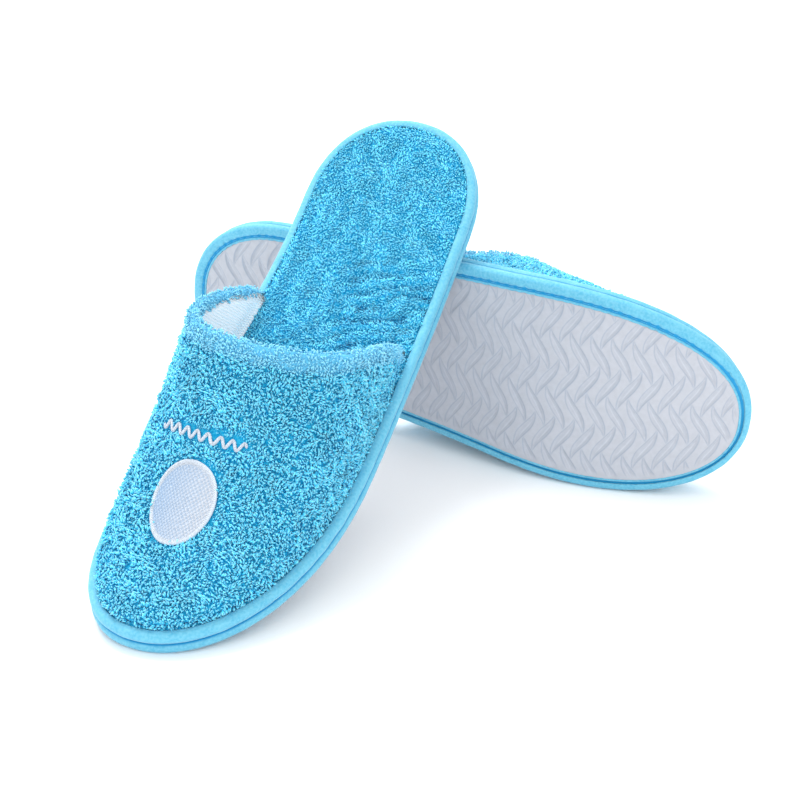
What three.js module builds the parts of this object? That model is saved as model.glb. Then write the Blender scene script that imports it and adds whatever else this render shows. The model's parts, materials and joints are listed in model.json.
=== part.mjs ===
// A pair of towelling spa slippers, right and left, lying as a pair: the right one stands on its
// side edge and the left one leans on it, toe down. Millimetres, +Z up.
//
// Each slipper is built flat in its own frame (x from heel to toe, y across, z up from the tread),
// then curled along its length and placed by its group. Its pieces are stacked like the real ones:
// tread sheet, foam and tape below, board, fleece insole and tape above, and a padded vamp.
import * as THREE from 'three';

// ---- driving dimensions ----

const sole = {
  length: 285,
  heelHalfWidth: 41.5,
  ballHalfWidth: 52.6,
  waistPull: 3.7, // how far each side pulls in half-way along
  heelRound: 48, // length over which the heel rounds off
  toeRound: 108, // length over which the toe rounds off
  heelPower: 2.16,
  toePower: 2.15,
  toeSkew: 10.6, // the toe's shift towards the big toe
  skewStart: 114, // distance from the heel where that shift begins
  archFlat: 50, // straight stretch half-way along, between the two curls
};

const layer = {
  gap: 0.3, // between pieces that touch
  tapeWall: 0.9,
  treadEdge: 1.0, // the tread sheet where it is pinched in the tape
  foamEdge: 1.0, // the foam where it is pinched in the tape
  board: 1.0,
  fleeceEdge: 1.0, // the insole fleece where it is pinched in the tape
  groove: 0.5, // between the two rolls of tape
  pileRise: 0.6, // the insole fleece above the upper tape
};

const tape = {
  soleLap: 7.3, // the sole tape's reach over the tread
  middleLap: 5.0, // both tapes' reach between the two halves
  topLap: 3.5, // the upper tape's reach over the insole
  channelStart: 5.0, // the sunk line of stitches in the sole tape
  channelEnd: 6.2,
  channelDepth: 0.55,
  treadSink: 0.2, // the tread's face behind the tape's
};

const vamp = {
  lateralThroat: 116, // distance from the heel to the opening at the little-toe side
  medialThroat: 106, // the same at the big-toe side
  middleThroat: 164, // the same on the crest
  height: 58,
  toeHeight: 6, // the steep rise just behind the toe
  slope: 1.45, // how the height falls from the opening to the toe
  crown: 0.66, // below 1 the arch is boxy, at 1 it is round
  sideRound: 0.9,
  bulge: 5.5, // how far the flanks swell past their seat
  lean: 5.6, // the crest's lean towards the big toe
  leanFade: 1.36,
  seat: 0.4, // between the upper tape's edge and the vamp
  ease: 7, // keeps the inner layers apart where the vamp is low
  fleece: 3.0,
  foam: 1.6,
  lining: 0.9,
  layerGap: 0.5,
  seatGap: 0.6, // between the insole's pile and the vamp's foot
};

const badge = {
  middle: 231, // the oval's middle, from the heel
  side: -0.05, // across the vamp, -1 at the big-toe seat and 1 at the little-toe seat
  length: 38,
  width: 29,
  row: 206, // the stitched row's middle, from the heel
  rowSide: -0.08,
  rowLength: 41,
  rowWidth: 4.5,
  lift: 0.7, // above the vamp's face
  thickness: 0.7,
};

const stitch = { thread: 0.3, clearance: 0.2, sides: 6 };

const pose = {
  rightHeelCurl: -15, // degrees that each half curls up, towards the vamp
  rightToeCurl: 41,
  leftHeelCurl: 20.4,
  leftToeCurl: 15.9,
  rightRoll: 93.1, // the right slipper lies over on its side
  rightPitch: 0.3,
  leftYaw: -80,
  leftRoll: -3.6,
  leftPitchMost: 45, // the steepest lean that is tried
  leftForward: new THREE.Vector2(-23.6, -72.6), // from the right slipper's middle to the left's
  leanGap: 0.35, // between the left tread and what it leans on
};

// ---- levels worked out from the layers, up from the tread ----

const level = {};
level.treadEdgeLow = layer.tapeWall + layer.gap;
level.treadTop = level.treadEdgeLow + layer.treadEdge;
level.foamLow = level.treadTop + layer.gap;
level.foamEdgeTop = level.foamLow + layer.foamEdge;
level.soleTapeTop = level.foamEdgeTop + layer.gap + layer.tapeWall;
level.upperTapeLow = level.soleTapeTop + layer.groove;
level.foamTop = level.upperTapeLow + layer.tapeWall;
level.boardLow = level.foamTop + layer.gap;
level.boardTop = level.boardLow + layer.board;
level.fleeceLow = level.boardTop + layer.gap;
level.fleeceEdgeTop = level.fleeceLow + layer.fleeceEdge;
level.upperTapeTop = level.fleeceEdgeTop + layer.gap + layer.tapeWall;
level.fleeceTop = level.upperTapeTop + layer.pileRise;
level.vampSeat = level.fleeceTop + vamp.seatGap;

const soleTapeRadius = level.soleTapeTop / 2;
const upperTapeRadius = (level.upperTapeTop - level.upperTapeLow) / 2;
const vampInset = tape.topLap + vamp.seat + layer.gap;

const stations = 20; // steps along each side of the sole
const columns = 2; // facets across a flat face

// ---- the sole's outline ----

const clamp01 = (value) => Math.min(Math.max(value, 0), 1);

// The outline at a share of the length: its middle line and its half width.
function soleShape(share) {
  const { length, heelHalfWidth, ballHalfWidth, waistPull } = sole;
  const x = share * length;
  const body = heelHalfWidth + (ballHalfWidth - heelHalfWidth) * (3 * share ** 2 - 2 * share ** 3)
    - waistPull * Math.sin(Math.PI * share);
  const heel = (1 - (1 - clamp01(x / sole.heelRound)) ** sole.heelPower) ** (1 / sole.heelPower);
  const pastRound = clamp01((x - (length - sole.toeRound)) / sole.toeRound);
  const toe = (1 - pastRound ** sole.toePower) ** (1 / sole.toePower);
  const skew = -sole.toeSkew * clamp01((x - sole.skewStart) / (length - sole.skewStart)) ** 2;
  return { x, middle: skew, half: body * heel * toe };
}

// Both side rails at a distance inside the outline, with count steps, moved along the true normal.
function rails(inset, count = stations) {
  const loop = [];
  for (let i = 0; i <= count; i += 1) {
    const { x, middle, half } = soleShape((1 - Math.cos((Math.PI * i) / count)) / 2);
    loop.push([x, middle + half]);
  }
  for (let i = count - 1; i > 0; i -= 1) {
    const { x, middle, half } = soleShape((1 - Math.cos((Math.PI * i) / count)) / 2);
    loop.push([x, middle - half]);
  }
  return loop.map(([x, y], i) => {
    const before = loop[(i + loop.length - 1) % loop.length];
    const after = loop[(i + 1) % loop.length];
    const run = new THREE.Vector2(after[0] - before[0], after[1] - before[1]).normalize();
    return [x + run.y * inset, y - run.x * inset];
  });
}

// Where a rung's end is in that loop, on the side y > 0 (side 1) or y < 0.
const rungIndex = (i, side) => {
  if (i === 0) return 0;
  if (i === stations) return stations;
  return side > 0 ? i : 2 * stations - i;
};

// Where an inset rail lies at a distance x from the heel, on the side y > 0 (side 1) or y < 0.
function railReader(inset) {
  const count = 160;
  const loop = rails(inset, count);
  const left = loop.slice(0, count + 1);
  const right = [loop[0], ...loop.slice(count).reverse()];
  const read = (points, x) => {
    const last = points.length - 1;
    const at = points.findIndex((point) => point[0] >= x);
    if (at < 0) return points[last][1];
    if (at === 0) return points[0][1];
    const [x0, y0] = points[at - 1];
    const [x1, y1] = points[at];
    return y0 + ((y1 - y0) * (x - x0)) / (x1 - x0);
  };
  return {
    toe: left[count][0],
    side: (x, side) => read(side > 0 ? left : right, x),
  };
}

// ---- curling ----

// Turns the flat frame into the curled one: straight over the arch, then a circle arc each way.
function curlPoint(point, curl) {
  const half = sole.length / 2;
  const flat = sole.archFlat / 2;
  const along = point.x - half;
  const beyond = Math.max(Math.abs(along) - flat, 0);
  const way = Math.sign(along);
  const total = THREE.MathUtils.degToRad(way < 0 ? curl.heel : curl.toe);
  const bend = total / (half - flat);
  if (beyond === 0 || bend === 0) return new THREE.Vector3(along, point.y, point.z);
  const turn = bend * beyond;
  const run = flat + Math.sin(turn) / bend;
  const rise = (1 - Math.cos(turn)) / bend;
  return new THREE.Vector3(
    way * (run - Math.sin(turn) * point.z),
    point.y,
    rise + Math.cos(turn) * point.z,
  );
}

// The reverse: where a curled point lies in the flat frame.
function uncurlPoint(point, curl) {
  const half = sole.length / 2;
  const flat = sole.archFlat / 2;
  const way = Math.sign(point.x);
  const bend = THREE.MathUtils.degToRad(way < 0 ? curl.heel : curl.toe) / (half - flat);
  const beyond = Math.abs(point.x) - flat;
  if (beyond <= 0) return new THREE.Vector3(point.x + half, point.y, point.z);
  const radius = 1 / bend;
  const turn = Math.atan2(beyond * Math.sign(radius), (radius - point.z) * Math.sign(radius));
  const reach = Math.hypot(beyond, radius - point.z) * Math.sign(radius);
  return new THREE.Vector3(half + way * (flat + turn * radius), point.y, radius - reach);
}

// ---- closed meshes ----

// The same face seen from its other side, split along the same diagonal.
const turned = ([first, ...rest]) => [first, ...rest.reverse()];

// A closed mesh from flat-frame points and faces of three or four corners, faces turned outwards.
function closedGeometry(points, faces, foot) {
  const placed = points.map((point) => {
    const curled = curlPoint(point, foot.curl);
    return new THREE.Vector3(curled.x, curled.y * foot.side, curled.z);
  });
  const triangles = [];
  for (const face of faces) {
    for (let i = 2; i < face.length; i += 1) triangles.push([face[0], face[i - 1], face[i]]);
  }
  const volume = triangles.reduce((sum, [a, b, c]) => (
    sum + placed[a].dot(new THREE.Vector3().crossVectors(placed[b], placed[c]))
  ), 0);
  const index = triangles.flatMap(([a, b, c]) => (volume > 0 ? [a, b, c] : [a, c, b]));
  const geometry = new THREE.BufferGeometry();
  geometry.setAttribute('position', new THREE.Float32BufferAttribute(
    placed.flatMap(({ x, y, z }) => [x, y, z]),
    3,
  ));
  geometry.setIndex(index);
  geometry.computeVertexNormals();
  return geometry;
}

// A sheet with the sole's outline. Its edge profile is a list of [inset, level] from the top
// face's edge round to the bottom face's edge.
function slab(profile, foot) {
  const points = [];
  const faces = [];
  const around = 2 * stations;
  for (const [inset, z] of profile) {
    points.push(...rails(inset).map(([x, y]) => new THREE.Vector3(x, y, z)));
  }
  for (let ring = 0; ring + 1 < profile.length; ring += 1) {
    for (let i = 0; i < around; i += 1) {
      const next = (i + 1) % around;
      const a = ring * around;
      const b = a + around;
      faces.push([a + i, a + next, b + next, b + i]);
    }
  }
  const fillFace = (ring, flip) => {
    const rim = (i, side) => ring * around + rungIndex(i, side);
    const rungs = [];
    for (let i = 0; i <= stations; i += 1) {
      const from = rim(i, 1);
      const to = rim(i, -1);
      const rung = [from];
      if (from !== to) {
        for (let k = 1; k < columns; k += 1) {
          points.push(points[from].clone().lerp(points[to], k / columns));
          rung.push(points.length - 1);
        }
        rung.push(to);
      }
      rungs.push(rung);
    }
    for (let i = 0; i < stations; i += 1) {
      const [near, far] = [rungs[i], rungs[i + 1]];
      for (let k = 0; k < columns; k += 1) {
        let face = [near[k], near[k + 1], far[k + 1], far[k]];
        if (near.length === 1) face = [near[0], far[k + 1], far[k]];
        if (far.length === 1) face = [near[k], near[k + 1], far[0]];
        faces.push(flip ? turned(face) : face);
      }
    }
  };
  fillFace(0, false);
  fillFace(profile.length - 1, true);
  return closedGeometry(points, faces, foot);
}

// A closed ring round the sole with one section, a loop of [inset, level].
function ring(section, foot) {
  const around = 2 * stations;
  const points = section.flatMap(([inset, z]) => (
    rails(inset).map(([x, y]) => new THREE.Vector3(x, y, z))
  ));
  const faces = [];
  for (let k = 0; k < section.length; k += 1) {
    const a = k * around;
    const b = ((k + 1) % section.length) * around;
    for (let i = 0; i < around; i += 1) {
      const next = (i + 1) % around;
      faces.push([a + i, a + next, b + next, b + i]);
    }
  }
  return closedGeometry(points, faces, foot);
}

// Points on a half circle that bulges towards the outside, from low to high.
function roll(radius, middle, outerRadius, steps) {
  return Array.from({ length: steps + 1 }, (_, i) => {
    const angle = -Math.PI / 2 + (Math.PI * i) / steps;
    return [outerRadius - radius * Math.cos(angle), middle + radius * Math.sin(angle)];
  });
}

// ---- the vamp ----

// A point on the vamp, depth inside its outer face. along runs 0 to 1 from opening to toe, and
// across runs -1 to 1 from the big-toe seat to the little-toe seat.
function vampPoint(along, across, depth, rail) {
  const seatThroat = (vamp.medialThroat * (1 - across) + vamp.lateralThroat * (1 + across)) / 2;
  const seatMiddle = (vamp.medialThroat + vamp.lateralThroat) / 2;
  const start = seatThroat + (vamp.middleThroat - seatMiddle) * (1 - across * across);
  const x = start + (rail.toe - start) * along;
  const low = rail.side(x, -1);
  const high = rail.side(x, 1);
  const angle = ((across + 1) * Math.PI) / 2;
  const cosine = -Math.cos(angle);
  const sine = Math.max(Math.sin(angle), 0);
  const full = (vamp.height - vamp.toeHeight) * (1 - along) ** vamp.slope
    + vamp.toeHeight * Math.sqrt(1 - along ** 6);
  const height = full * (1 - depth / (full + vamp.ease));
  const spread = Math.sign(cosine) * Math.abs(cosine) ** vamp.sideRound;
  const swell = vamp.bulge * Math.sign(cosine) * Math.sin(2 * angle) ** 2 * (1 - along);
  const shift = -vamp.lean * sine * (1 - along) ** vamp.leanFade;
  return new THREE.Vector3(
    x,
    (low + high) / 2 + (spread * (high - low)) / 2 + swell + shift,
    level.vampSeat + height * sine ** vamp.crown,
  );
}

// A shell between two depths of the vamp, open at the throat and at the foot.
function vampShell(outerDepth, thickness, foot) {
  const rows = 11;
  const cols = 12;
  const points = [];
  const faces = [];
  const grids = [outerDepth, outerDepth + thickness].map((depth) => {
    const rail = railReader(vampInset + depth);
    const grid = [];
    for (let r = 0; r < rows; r += 1) {
      const along = Math.sin((Math.PI / 2) * (r / rows));
      const row = [];
      for (let c = 0; c <= cols; c += 1) {
        points.push(vampPoint(along, -1 + (2 * c) / cols, depth, rail));
        row.push(points.length - 1);
      }
      grid.push(row);
    }
    points.push(vampPoint(1, 0, depth, rail));
    grid.push(points.length - 1);
    return grid;
  });
  const [outer, inner] = grids;
  const skin = (grid, flip) => {
    for (let r = 0; r < rows; r += 1) {
      for (let c = 0; c < cols; c += 1) {
        const face = r + 1 < rows
          ? [grid[r][c], grid[r][c + 1], grid[r + 1][c + 1], grid[r + 1][c]]
          : [grid[r][c], grid[r][c + 1], grid[rows]];
        faces.push(flip ? turned(face) : face);
      }
    }
  };
  skin(outer, false);
  skin(inner, true);
  const rimOf = (grid) => [
    grid[rows],
    ...grid.slice(0, rows).map((row) => row[0]).reverse(),
    ...grid[0].slice(1, cols),
    ...grid.slice(0, rows).map((row) => row[cols]),
  ];
  const outerRim = rimOf(outer);
  const innerRim = rimOf(inner);
  for (let i = 0; i < outerRim.length; i += 1) {
    const next = (i + 1) % outerRim.length;
    faces.push([outerRim[next], outerRim[i], innerRim[i], innerRim[next]]);
  }
  return closedGeometry(points, faces, foot);
}

// A thin embroidered patch laid on the vamp: an ellipse or a long rounded row.
function vampPatch({ middle, side, length, width, power, around }, foot) {
  const rail = railReader(vampInset);
  const start = (vamp.medialThroat + vamp.lateralThroat) / 2;
  const throat = start + (vamp.middleThroat - start) * (1 - side * side);
  const centre = (middle - throat) / (rail.toe - throat);
  const at = (along, across) => vampPoint(along, across, 0, rail);
  const step = 0.01;
  const perAlong = at(centre + step, side).distanceTo(at(centre - step, side)) / (2 * step);
  const perAcross = at(centre, side + step).distanceTo(at(centre, side - step)) / (2 * step);
  const spot = (ringShare, angle, height) => {
    const cosine = Math.cos(angle);
    const sine = Math.sin(angle);
    const along = centre + (ringShare * (length / 2) * Math.sign(cosine)
      * Math.abs(cosine) ** (2 / power)) / perAlong;
    const across = side + (ringShare * (width / 2) * Math.sign(sine)
      * Math.abs(sine) ** (2 / power)) / perAcross;
    const here = at(along, across);
    const runAlong = at(along + step, across).sub(here);
    const runAcross = at(along, across + step).sub(here);
    const normal = runAlong.cross(runAcross).normalize();
    return here.addScaledVector(normal, normal.z < 0 ? -height : height);
  };
  const ringsOut = 2;
  const points = [];
  const faces = [];
  const layers = [badge.lift + badge.thickness, badge.lift].map((height) => {
    points.push(spot(0, 0, height));
    const first = points.length - 1;
    for (let r = 1; r <= ringsOut; r += 1) {
      for (let i = 0; i < around; i += 1) {
        points.push(spot(r / ringsOut, (2 * Math.PI * i) / around, height));
      }
    }
    return first;
  });
  const [top, bottom] = layers;
  for (let i = 0; i < around; i += 1) {
    const next = (i + 1) % around;
    faces.push([top, top + 1 + i, top + 1 + next]);
    faces.push([bottom, bottom + 1 + next, bottom + 1 + i]);
    for (let r = 0; r + 1 < ringsOut; r += 1) {
      const a = 1 + r * around;
      const b = a + around;
      faces.push([top + a + i, top + b + i, top + b + next, top + a + next]);
      faces.push([bottom + a + i, bottom + a + next, bottom + b + next, bottom + b + i]);
    }
    const rim = 1 + (ringsOut - 1) * around;
    faces.push([top + rim + i, bottom + rim + i, bottom + rim + next, top + rim + next]);
  }
  return closedGeometry(points, faces, foot);
}

// ---- materials ----

const material = (color, roughness) => (
  new THREE.MeshStandardMaterial({ color, roughness, metalness: 0 })
);
const treadMaterial = material(0xc9cfd8, 0.4);
const foamMaterial = material(0xdfe6ea, 0.8);
const tapeMaterial = material(0x74c8ea, 0.55);
const threadMaterial = material(0x2f9fce, 0.7);
const boardMaterial = material(0xe6e2d6, 0.8);
const fleeceMaterial = material(0x4cb4de, 0.95);
const liningMaterial = material(0xe3eef6, 0.85);
const embroideryMaterial = material(0xd6dfec, 0.5);

// ---- the pieces of one slipper ----

function piece(name, geometry, look) {
  const mesh = new THREE.Mesh(geometry, look);
  mesh.name = name;
  return mesh;
}

function treadSheet(foot) {
  const edge = soleTapeRadius + layer.gap;
  const face = tape.soleLap + layer.gap;
  return slab([
    [edge, level.treadTop],
    [edge, level.treadEdgeLow],
    [face, level.treadEdgeLow],
    [face, tape.treadSink],
  ], foot);
}

function midsoleFoam(foot) {
  const edge = soleTapeRadius + layer.gap;
  const pad = tape.middleLap + layer.gap;
  return slab([
    [pad, level.foamTop],
    [pad, level.foamEdgeTop],
    [edge, level.foamEdgeTop],
    [edge, level.foamLow],
  ], foot);
}

function soleTape(foot) {
  const radius = soleTapeRadius;
  return ring([
    [tape.soleLap, 0],
    [tape.channelEnd, 0],
    [tape.channelEnd, tape.channelDepth],
    [tape.channelStart, tape.channelDepth],
    [tape.channelStart, 0],
    ...roll(radius, radius, radius, 4),
    [tape.middleLap, level.soleTapeTop],
    [tape.middleLap, level.soleTapeTop - layer.tapeWall],
    ...roll(radius - layer.tapeWall, radius, radius, 2).reverse(),
    [tape.soleLap, layer.tapeWall],
  ], foot);
}

// One loop of thread, sunk in the sole tape's channel.
function soleStitching(foot) {
  const middle = (tape.channelStart + tape.channelEnd) / 2;
  const { thread, clearance, sides } = stitch;
  const height = tape.channelDepth - clearance - thread / 2;
  const section = Array.from({ length: sides }, (_, i) => {
    const angle = (2 * Math.PI * i) / sides;
    return [middle + (thread / 2) * Math.cos(angle), height - (thread / 2) * Math.sin(angle)];
  });
  return ring(section, foot);
}

function upperTape(foot) {
  const radius = upperTapeRadius;
  const middle = (level.upperTapeLow + level.upperTapeTop) / 2;
  return ring([
    [tape.middleLap, level.upperTapeLow],
    ...roll(radius, middle, radius, 4),
    [tape.topLap, level.upperTapeTop],
    [tape.topLap, level.upperTapeTop - layer.tapeWall],
    ...roll(radius - layer.tapeWall, middle, radius, 2).reverse(),
    [tape.middleLap, level.upperTapeLow + layer.tapeWall],
  ], foot);
}

function insoleBoard(foot) {
  const edge = upperTapeRadius + layer.gap;
  return slab([[edge, level.boardTop], [edge, level.boardLow]], foot);
}

function insoleFleece(foot) {
  const edge = upperTapeRadius + layer.gap;
  const pile = tape.topLap + layer.gap;
  return slab([
    [pile, level.fleeceTop],
    [pile, level.fleeceEdgeTop],
    [edge, level.fleeceEdgeTop],
    [edge, level.fleeceLow],
  ], foot);
}

function slipper(name, foot) {
  const foamDepth = vamp.fleece + vamp.layerGap;
  const liningDepth = foamDepth + vamp.foam + vamp.layerGap;
  const oval = {
    middle: badge.middle,
    side: badge.side,
    length: badge.length,
    width: badge.width,
    power: 2,
    around: 20,
  };
  const row = {
    middle: badge.row,
    side: badge.rowSide,
    length: badge.rowWidth,
    width: badge.rowLength,
    power: 4,
    around: 36,
  };
  const group = new THREE.Group();
  group.add(
    piece(`${name}_tread_sheet`, treadSheet(foot), treadMaterial),
    piece(`${name}_midsole_foam`, midsoleFoam(foot), foamMaterial),
    piece(`${name}_sole_tape`, soleTape(foot), tapeMaterial),
    piece(`${name}_sole_stitching`, soleStitching(foot), threadMaterial),
    piece(`${name}_insole_board`, insoleBoard(foot), boardMaterial),
    piece(`${name}_insole_fleece`, insoleFleece(foot), fleeceMaterial),
    piece(`${name}_upper_tape`, upperTape(foot), tapeMaterial),
    piece(`${name}_vamp_fleece`, vampShell(0, vamp.fleece, foot), fleeceMaterial),
    piece(`${name}_vamp_foam`, vampShell(foamDepth, vamp.foam, foot), foamMaterial),
    piece(`${name}_vamp_lining`, vampShell(liningDepth, vamp.lining, foot), liningMaterial),
    piece(`${name}_embroidered_oval`, vampPatch(oval, foot), embroideryMaterial),
    piece(`${name}_embroidered_row`, vampPatch(row, foot), embroideryMaterial),
  );
  return group;
}

// ---- laying the pair ----

const radians = THREE.MathUtils.degToRad;

function dropToFloor(group) {
  group.updateWorldMatrix(true, true);
  group.position.z -= new THREE.Box3().setFromObject(group, true).min.z;
  group.updateWorldMatrix(true, true);
}

// Points along every edge of a slipper's faces, in the pair's frame.
function edgePoints(group) {
  const steps = 6;
  const found = [];
  group.traverse((object) => {
    if (!object.isMesh) return;
    const positions = object.geometry.getAttribute('position');
    const index = object.geometry.getIndex().array;
    const corner = (i) => new THREE.Vector3()
      .fromBufferAttribute(positions, index[i])
      .applyMatrix4(object.matrixWorld);
    for (let i = 0; i < index.length; i += 1) {
      const from = corner(i);
      const to = corner(i % 3 === 2 ? i - 2 : i + 1);
      for (let k = 0; k < steps; k += 1) found.push(from.clone().lerp(to, k / steps));
    }
  });
  return found;
}

// The room between the left slipper's tread and the points below it, all along its sole.
function roomUnder(group, curl, others) {
  const back = group.matrixWorld.clone().invert();
  let room = Infinity;
  for (const other of others) {
    const flat = uncurlPoint(other.clone().applyMatrix4(back), curl);
    const { middle, half } = soleShape(clamp01(flat.x / sole.length));
    const inside = flat.x > 0 && flat.x < sole.length && Math.abs(flat.y - middle) < half;
    if (inside) room = Math.min(room, -flat.z);
  }
  return room;
}

const rightFoot = { side: -1, curl: { heel: pose.rightHeelCurl, toe: pose.rightToeCurl } };
const leftFoot = { side: 1, curl: { heel: pose.leftHeelCurl, toe: pose.leftToeCurl } };

const right = slipper('right', rightFoot);
right.rotation.set(-radians(pose.rightRoll), radians(pose.rightPitch), 0, 'ZYX');
dropToFloor(right);

// The left slipper leans at the steepest angle that still rests on the right one.
const left = slipper('left', leftFoot);
left.position.set(pose.leftForward.x, pose.leftForward.y, 0);
const rightEdges = edgePoints(right);
function lean(pitch) {
  left.rotation.set(radians(pose.leftRoll), radians(pitch), radians(pose.leftYaw), 'ZYX');
  dropToFloor(left);
  return roomUnder(left, leftFoot.curl, rightEdges);
}
let shallow = 0;
let steep = pose.leftPitchMost;
for (let i = 0; i < 24; i += 1) {
  const middle = (shallow + steep) / 2;
  if (lean(middle) < pose.leanGap) shallow = middle;
  else steep = middle;
}
lean(steep);

const pair = new THREE.Group();
pair.name = 'spa_slippers';
pair.add(right, left);
const box = new THREE.Box3().setFromObject(pair, true);
const centre = box.getCenter(new THREE.Vector3());
pair.position.set(-centre.x, -centre.y, -box.min.z);

export default pair;
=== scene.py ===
import json
import math

import bmesh
import bpy
import numpy as np
from mathutils import Matrix, Vector


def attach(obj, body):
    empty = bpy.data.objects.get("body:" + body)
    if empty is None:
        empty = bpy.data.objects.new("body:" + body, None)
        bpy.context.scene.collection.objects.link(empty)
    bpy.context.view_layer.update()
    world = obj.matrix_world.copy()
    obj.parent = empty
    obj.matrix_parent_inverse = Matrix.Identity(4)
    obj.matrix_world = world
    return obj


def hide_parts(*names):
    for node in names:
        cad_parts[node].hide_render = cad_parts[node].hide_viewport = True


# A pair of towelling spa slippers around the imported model: pile, tape, tread and embroidery.
# Lengths in the dictionaries are millimetres unless a note says otherwise.

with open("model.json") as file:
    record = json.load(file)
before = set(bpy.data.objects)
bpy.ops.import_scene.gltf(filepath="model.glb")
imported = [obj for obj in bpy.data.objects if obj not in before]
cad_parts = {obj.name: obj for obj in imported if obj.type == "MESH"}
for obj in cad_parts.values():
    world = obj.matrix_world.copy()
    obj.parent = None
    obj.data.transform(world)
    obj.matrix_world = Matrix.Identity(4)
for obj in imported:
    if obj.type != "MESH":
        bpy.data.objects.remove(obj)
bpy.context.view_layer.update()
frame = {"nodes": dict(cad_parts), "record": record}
nodes = frame["nodes"]
mm = 0.001

view = {
    "location": (0.3659, -0.4901, 0.3559),  # metres
    "direction": (-0.51, 0.736, -0.445),
    "lens": 72,
    "sensor": 36,
}
cameraData = bpy.data.cameras.new("Camera")
cameraData.lens = view["lens"]
cameraData.sensor_width = view["sensor"]
camera = bpy.data.objects.new("Camera", cameraData)
camera.location = view["location"]
camera.rotation_euler = Vector(view["direction"]).to_track_quat("-Z", "Y").to_euler()
bpy.context.scene.collection.objects.link(camera)
bpy.context.scene.camera = camera

# The sole's outline, the heights of its layers and how each slipper lies, as in the CAD part.
sole = {
    "length": 285,
    "heelHalfWidth": 41.5,
    "ballHalfWidth": 52.6,
    "waistPull": 3.7,
    "heelRound": 48,
    "toeRound": 108,
    "heelPower": 2.16,
    "toePower": 2.15,
    "toeSkew": 10.6,
    "skewStart": 114,
    "archFlat": 50,
}
levels = {
    "treadFace": 0.2,
    "treadTop": 2.2,
    "soleTapeTop": 4.7,
    "upperTapeLow": 5.2,
    "upperTapeTop": 9.9,
    "fleeceLow": 7.9,
    "fleeceTop": 10.5,
    "vampSeat": 11.1,
}
feet = {
    "right": {"side": -1, "heelCurl": -15, "toeCurl": 41, "turn": (-93.1, 0.3, 0)},
    "left": {"side": 1, "heelCurl": 20.4, "toeCurl": 15.9, "turn": (-3.6, 28.729, -80)},
}
mountSpot = {"along": 8, "across": 6, "up": 0.2}  # where the tread's mount lies on the curled sole

for name, foot in feet.items():
    roll, pitch, yaw = (math.radians(angle) for angle in foot["turn"])
    turn = Matrix.Rotation(yaw, 3, "Z") @ Matrix.Rotation(pitch, 3, "Y") @ Matrix.Rotation(roll, 3, "X")
    foot["name"] = name
    foot["matrix"] = np.array(turn)
    mount = next(m for m in frame["record"]["mounts"] if m["name"] == name + "_tread_face")
    spot = np.array([mountSpot["along"], mountSpot["across"] * foot["side"], mountSpot["up"]])
    foot["origin"] = np.array(mount["pos_m"]) / mm - foot["matrix"] @ spot


def soleShape(share):
    x = share * sole["length"]
    widening = (sole["ballHalfWidth"] - sole["heelHalfWidth"]) * (3 * share**2 - 2 * share**3)
    body = sole["heelHalfWidth"] + widening
    body = body - sole["waistPull"] * np.sin(np.pi * share)
    atHeel = 1 - np.clip(x / sole["heelRound"], 0, 1)
    heel = np.maximum(1 - atHeel ** sole["heelPower"], 0) ** (1 / sole["heelPower"])
    atToe = np.clip((x - (sole["length"] - sole["toeRound"])) / sole["toeRound"], 0, 1)
    toe = np.maximum(1 - atToe ** sole["toePower"], 0) ** (1 / sole["toePower"])
    skewShare = np.clip((x - sole["skewStart"]) / (sole["length"] - sole["skewStart"]), 0, 1)
    return x, -sole["toeSkew"] * skewShare**2, body * heel * toe


# The outline as a dense loop from the heel, up the little-toe side and back, with its inward normals.
railSteps = 800
railShare = (1 - np.cos(np.pi * np.arange(railSteps + 1) / railSteps)) / 2
railX, railMiddle, railHalf = soleShape(railShare)
loopX = np.concatenate([railX, railX[-2:0:-1]])
loopY = np.concatenate([railMiddle + railHalf, (railMiddle - railHalf)[-2:0:-1]])
runX = np.roll(loopX, -1) - np.roll(loopX, 1)
runY = np.roll(loopY, -1) - np.roll(loopY, 1)
runLength = np.hypot(runX, runY)
inwardX = runY / runLength
inwardY = -runX / runLength
closedX = np.append(loopX, loopX[0])
closedY = np.append(loopY, loopY[0])
loopDistance = np.concatenate([[0], np.cumsum(np.hypot(np.diff(closedX), np.diff(closedY)))])
edgeLength = loopDistance[-1]


def edgePoint(distance, inset):
    # A point at a distance round the outline and an inset inside it
    at = np.mod(distance, edgeLength)

    def read(values):
        return np.interp(at, loopDistance, np.append(values, values[0]))

    return read(loopX) + read(inwardX) * inset, read(loopY) + read(inwardY) * inset


def edgeDistance(x, y):
    # How far inside the outline each point lies, and its share of the way round
    stepCount = 900
    batch = 8000  # points measured at a time
    steps = np.linspace(0, edgeLength, stepCount, endpoint=False)
    outX, outY = edgePoint(steps, np.zeros_like(steps))
    nearest = np.empty(len(x))
    share = np.empty(len(x))
    for first in range(0, len(x), batch):
        part = slice(first, first + batch)
        away = np.hypot(x[part, None] - outX, y[part, None] - outY)
        nearest[part] = away.min(axis=1)
        share[part] = away.argmin(axis=1) / len(steps)
    return nearest, share


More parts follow.
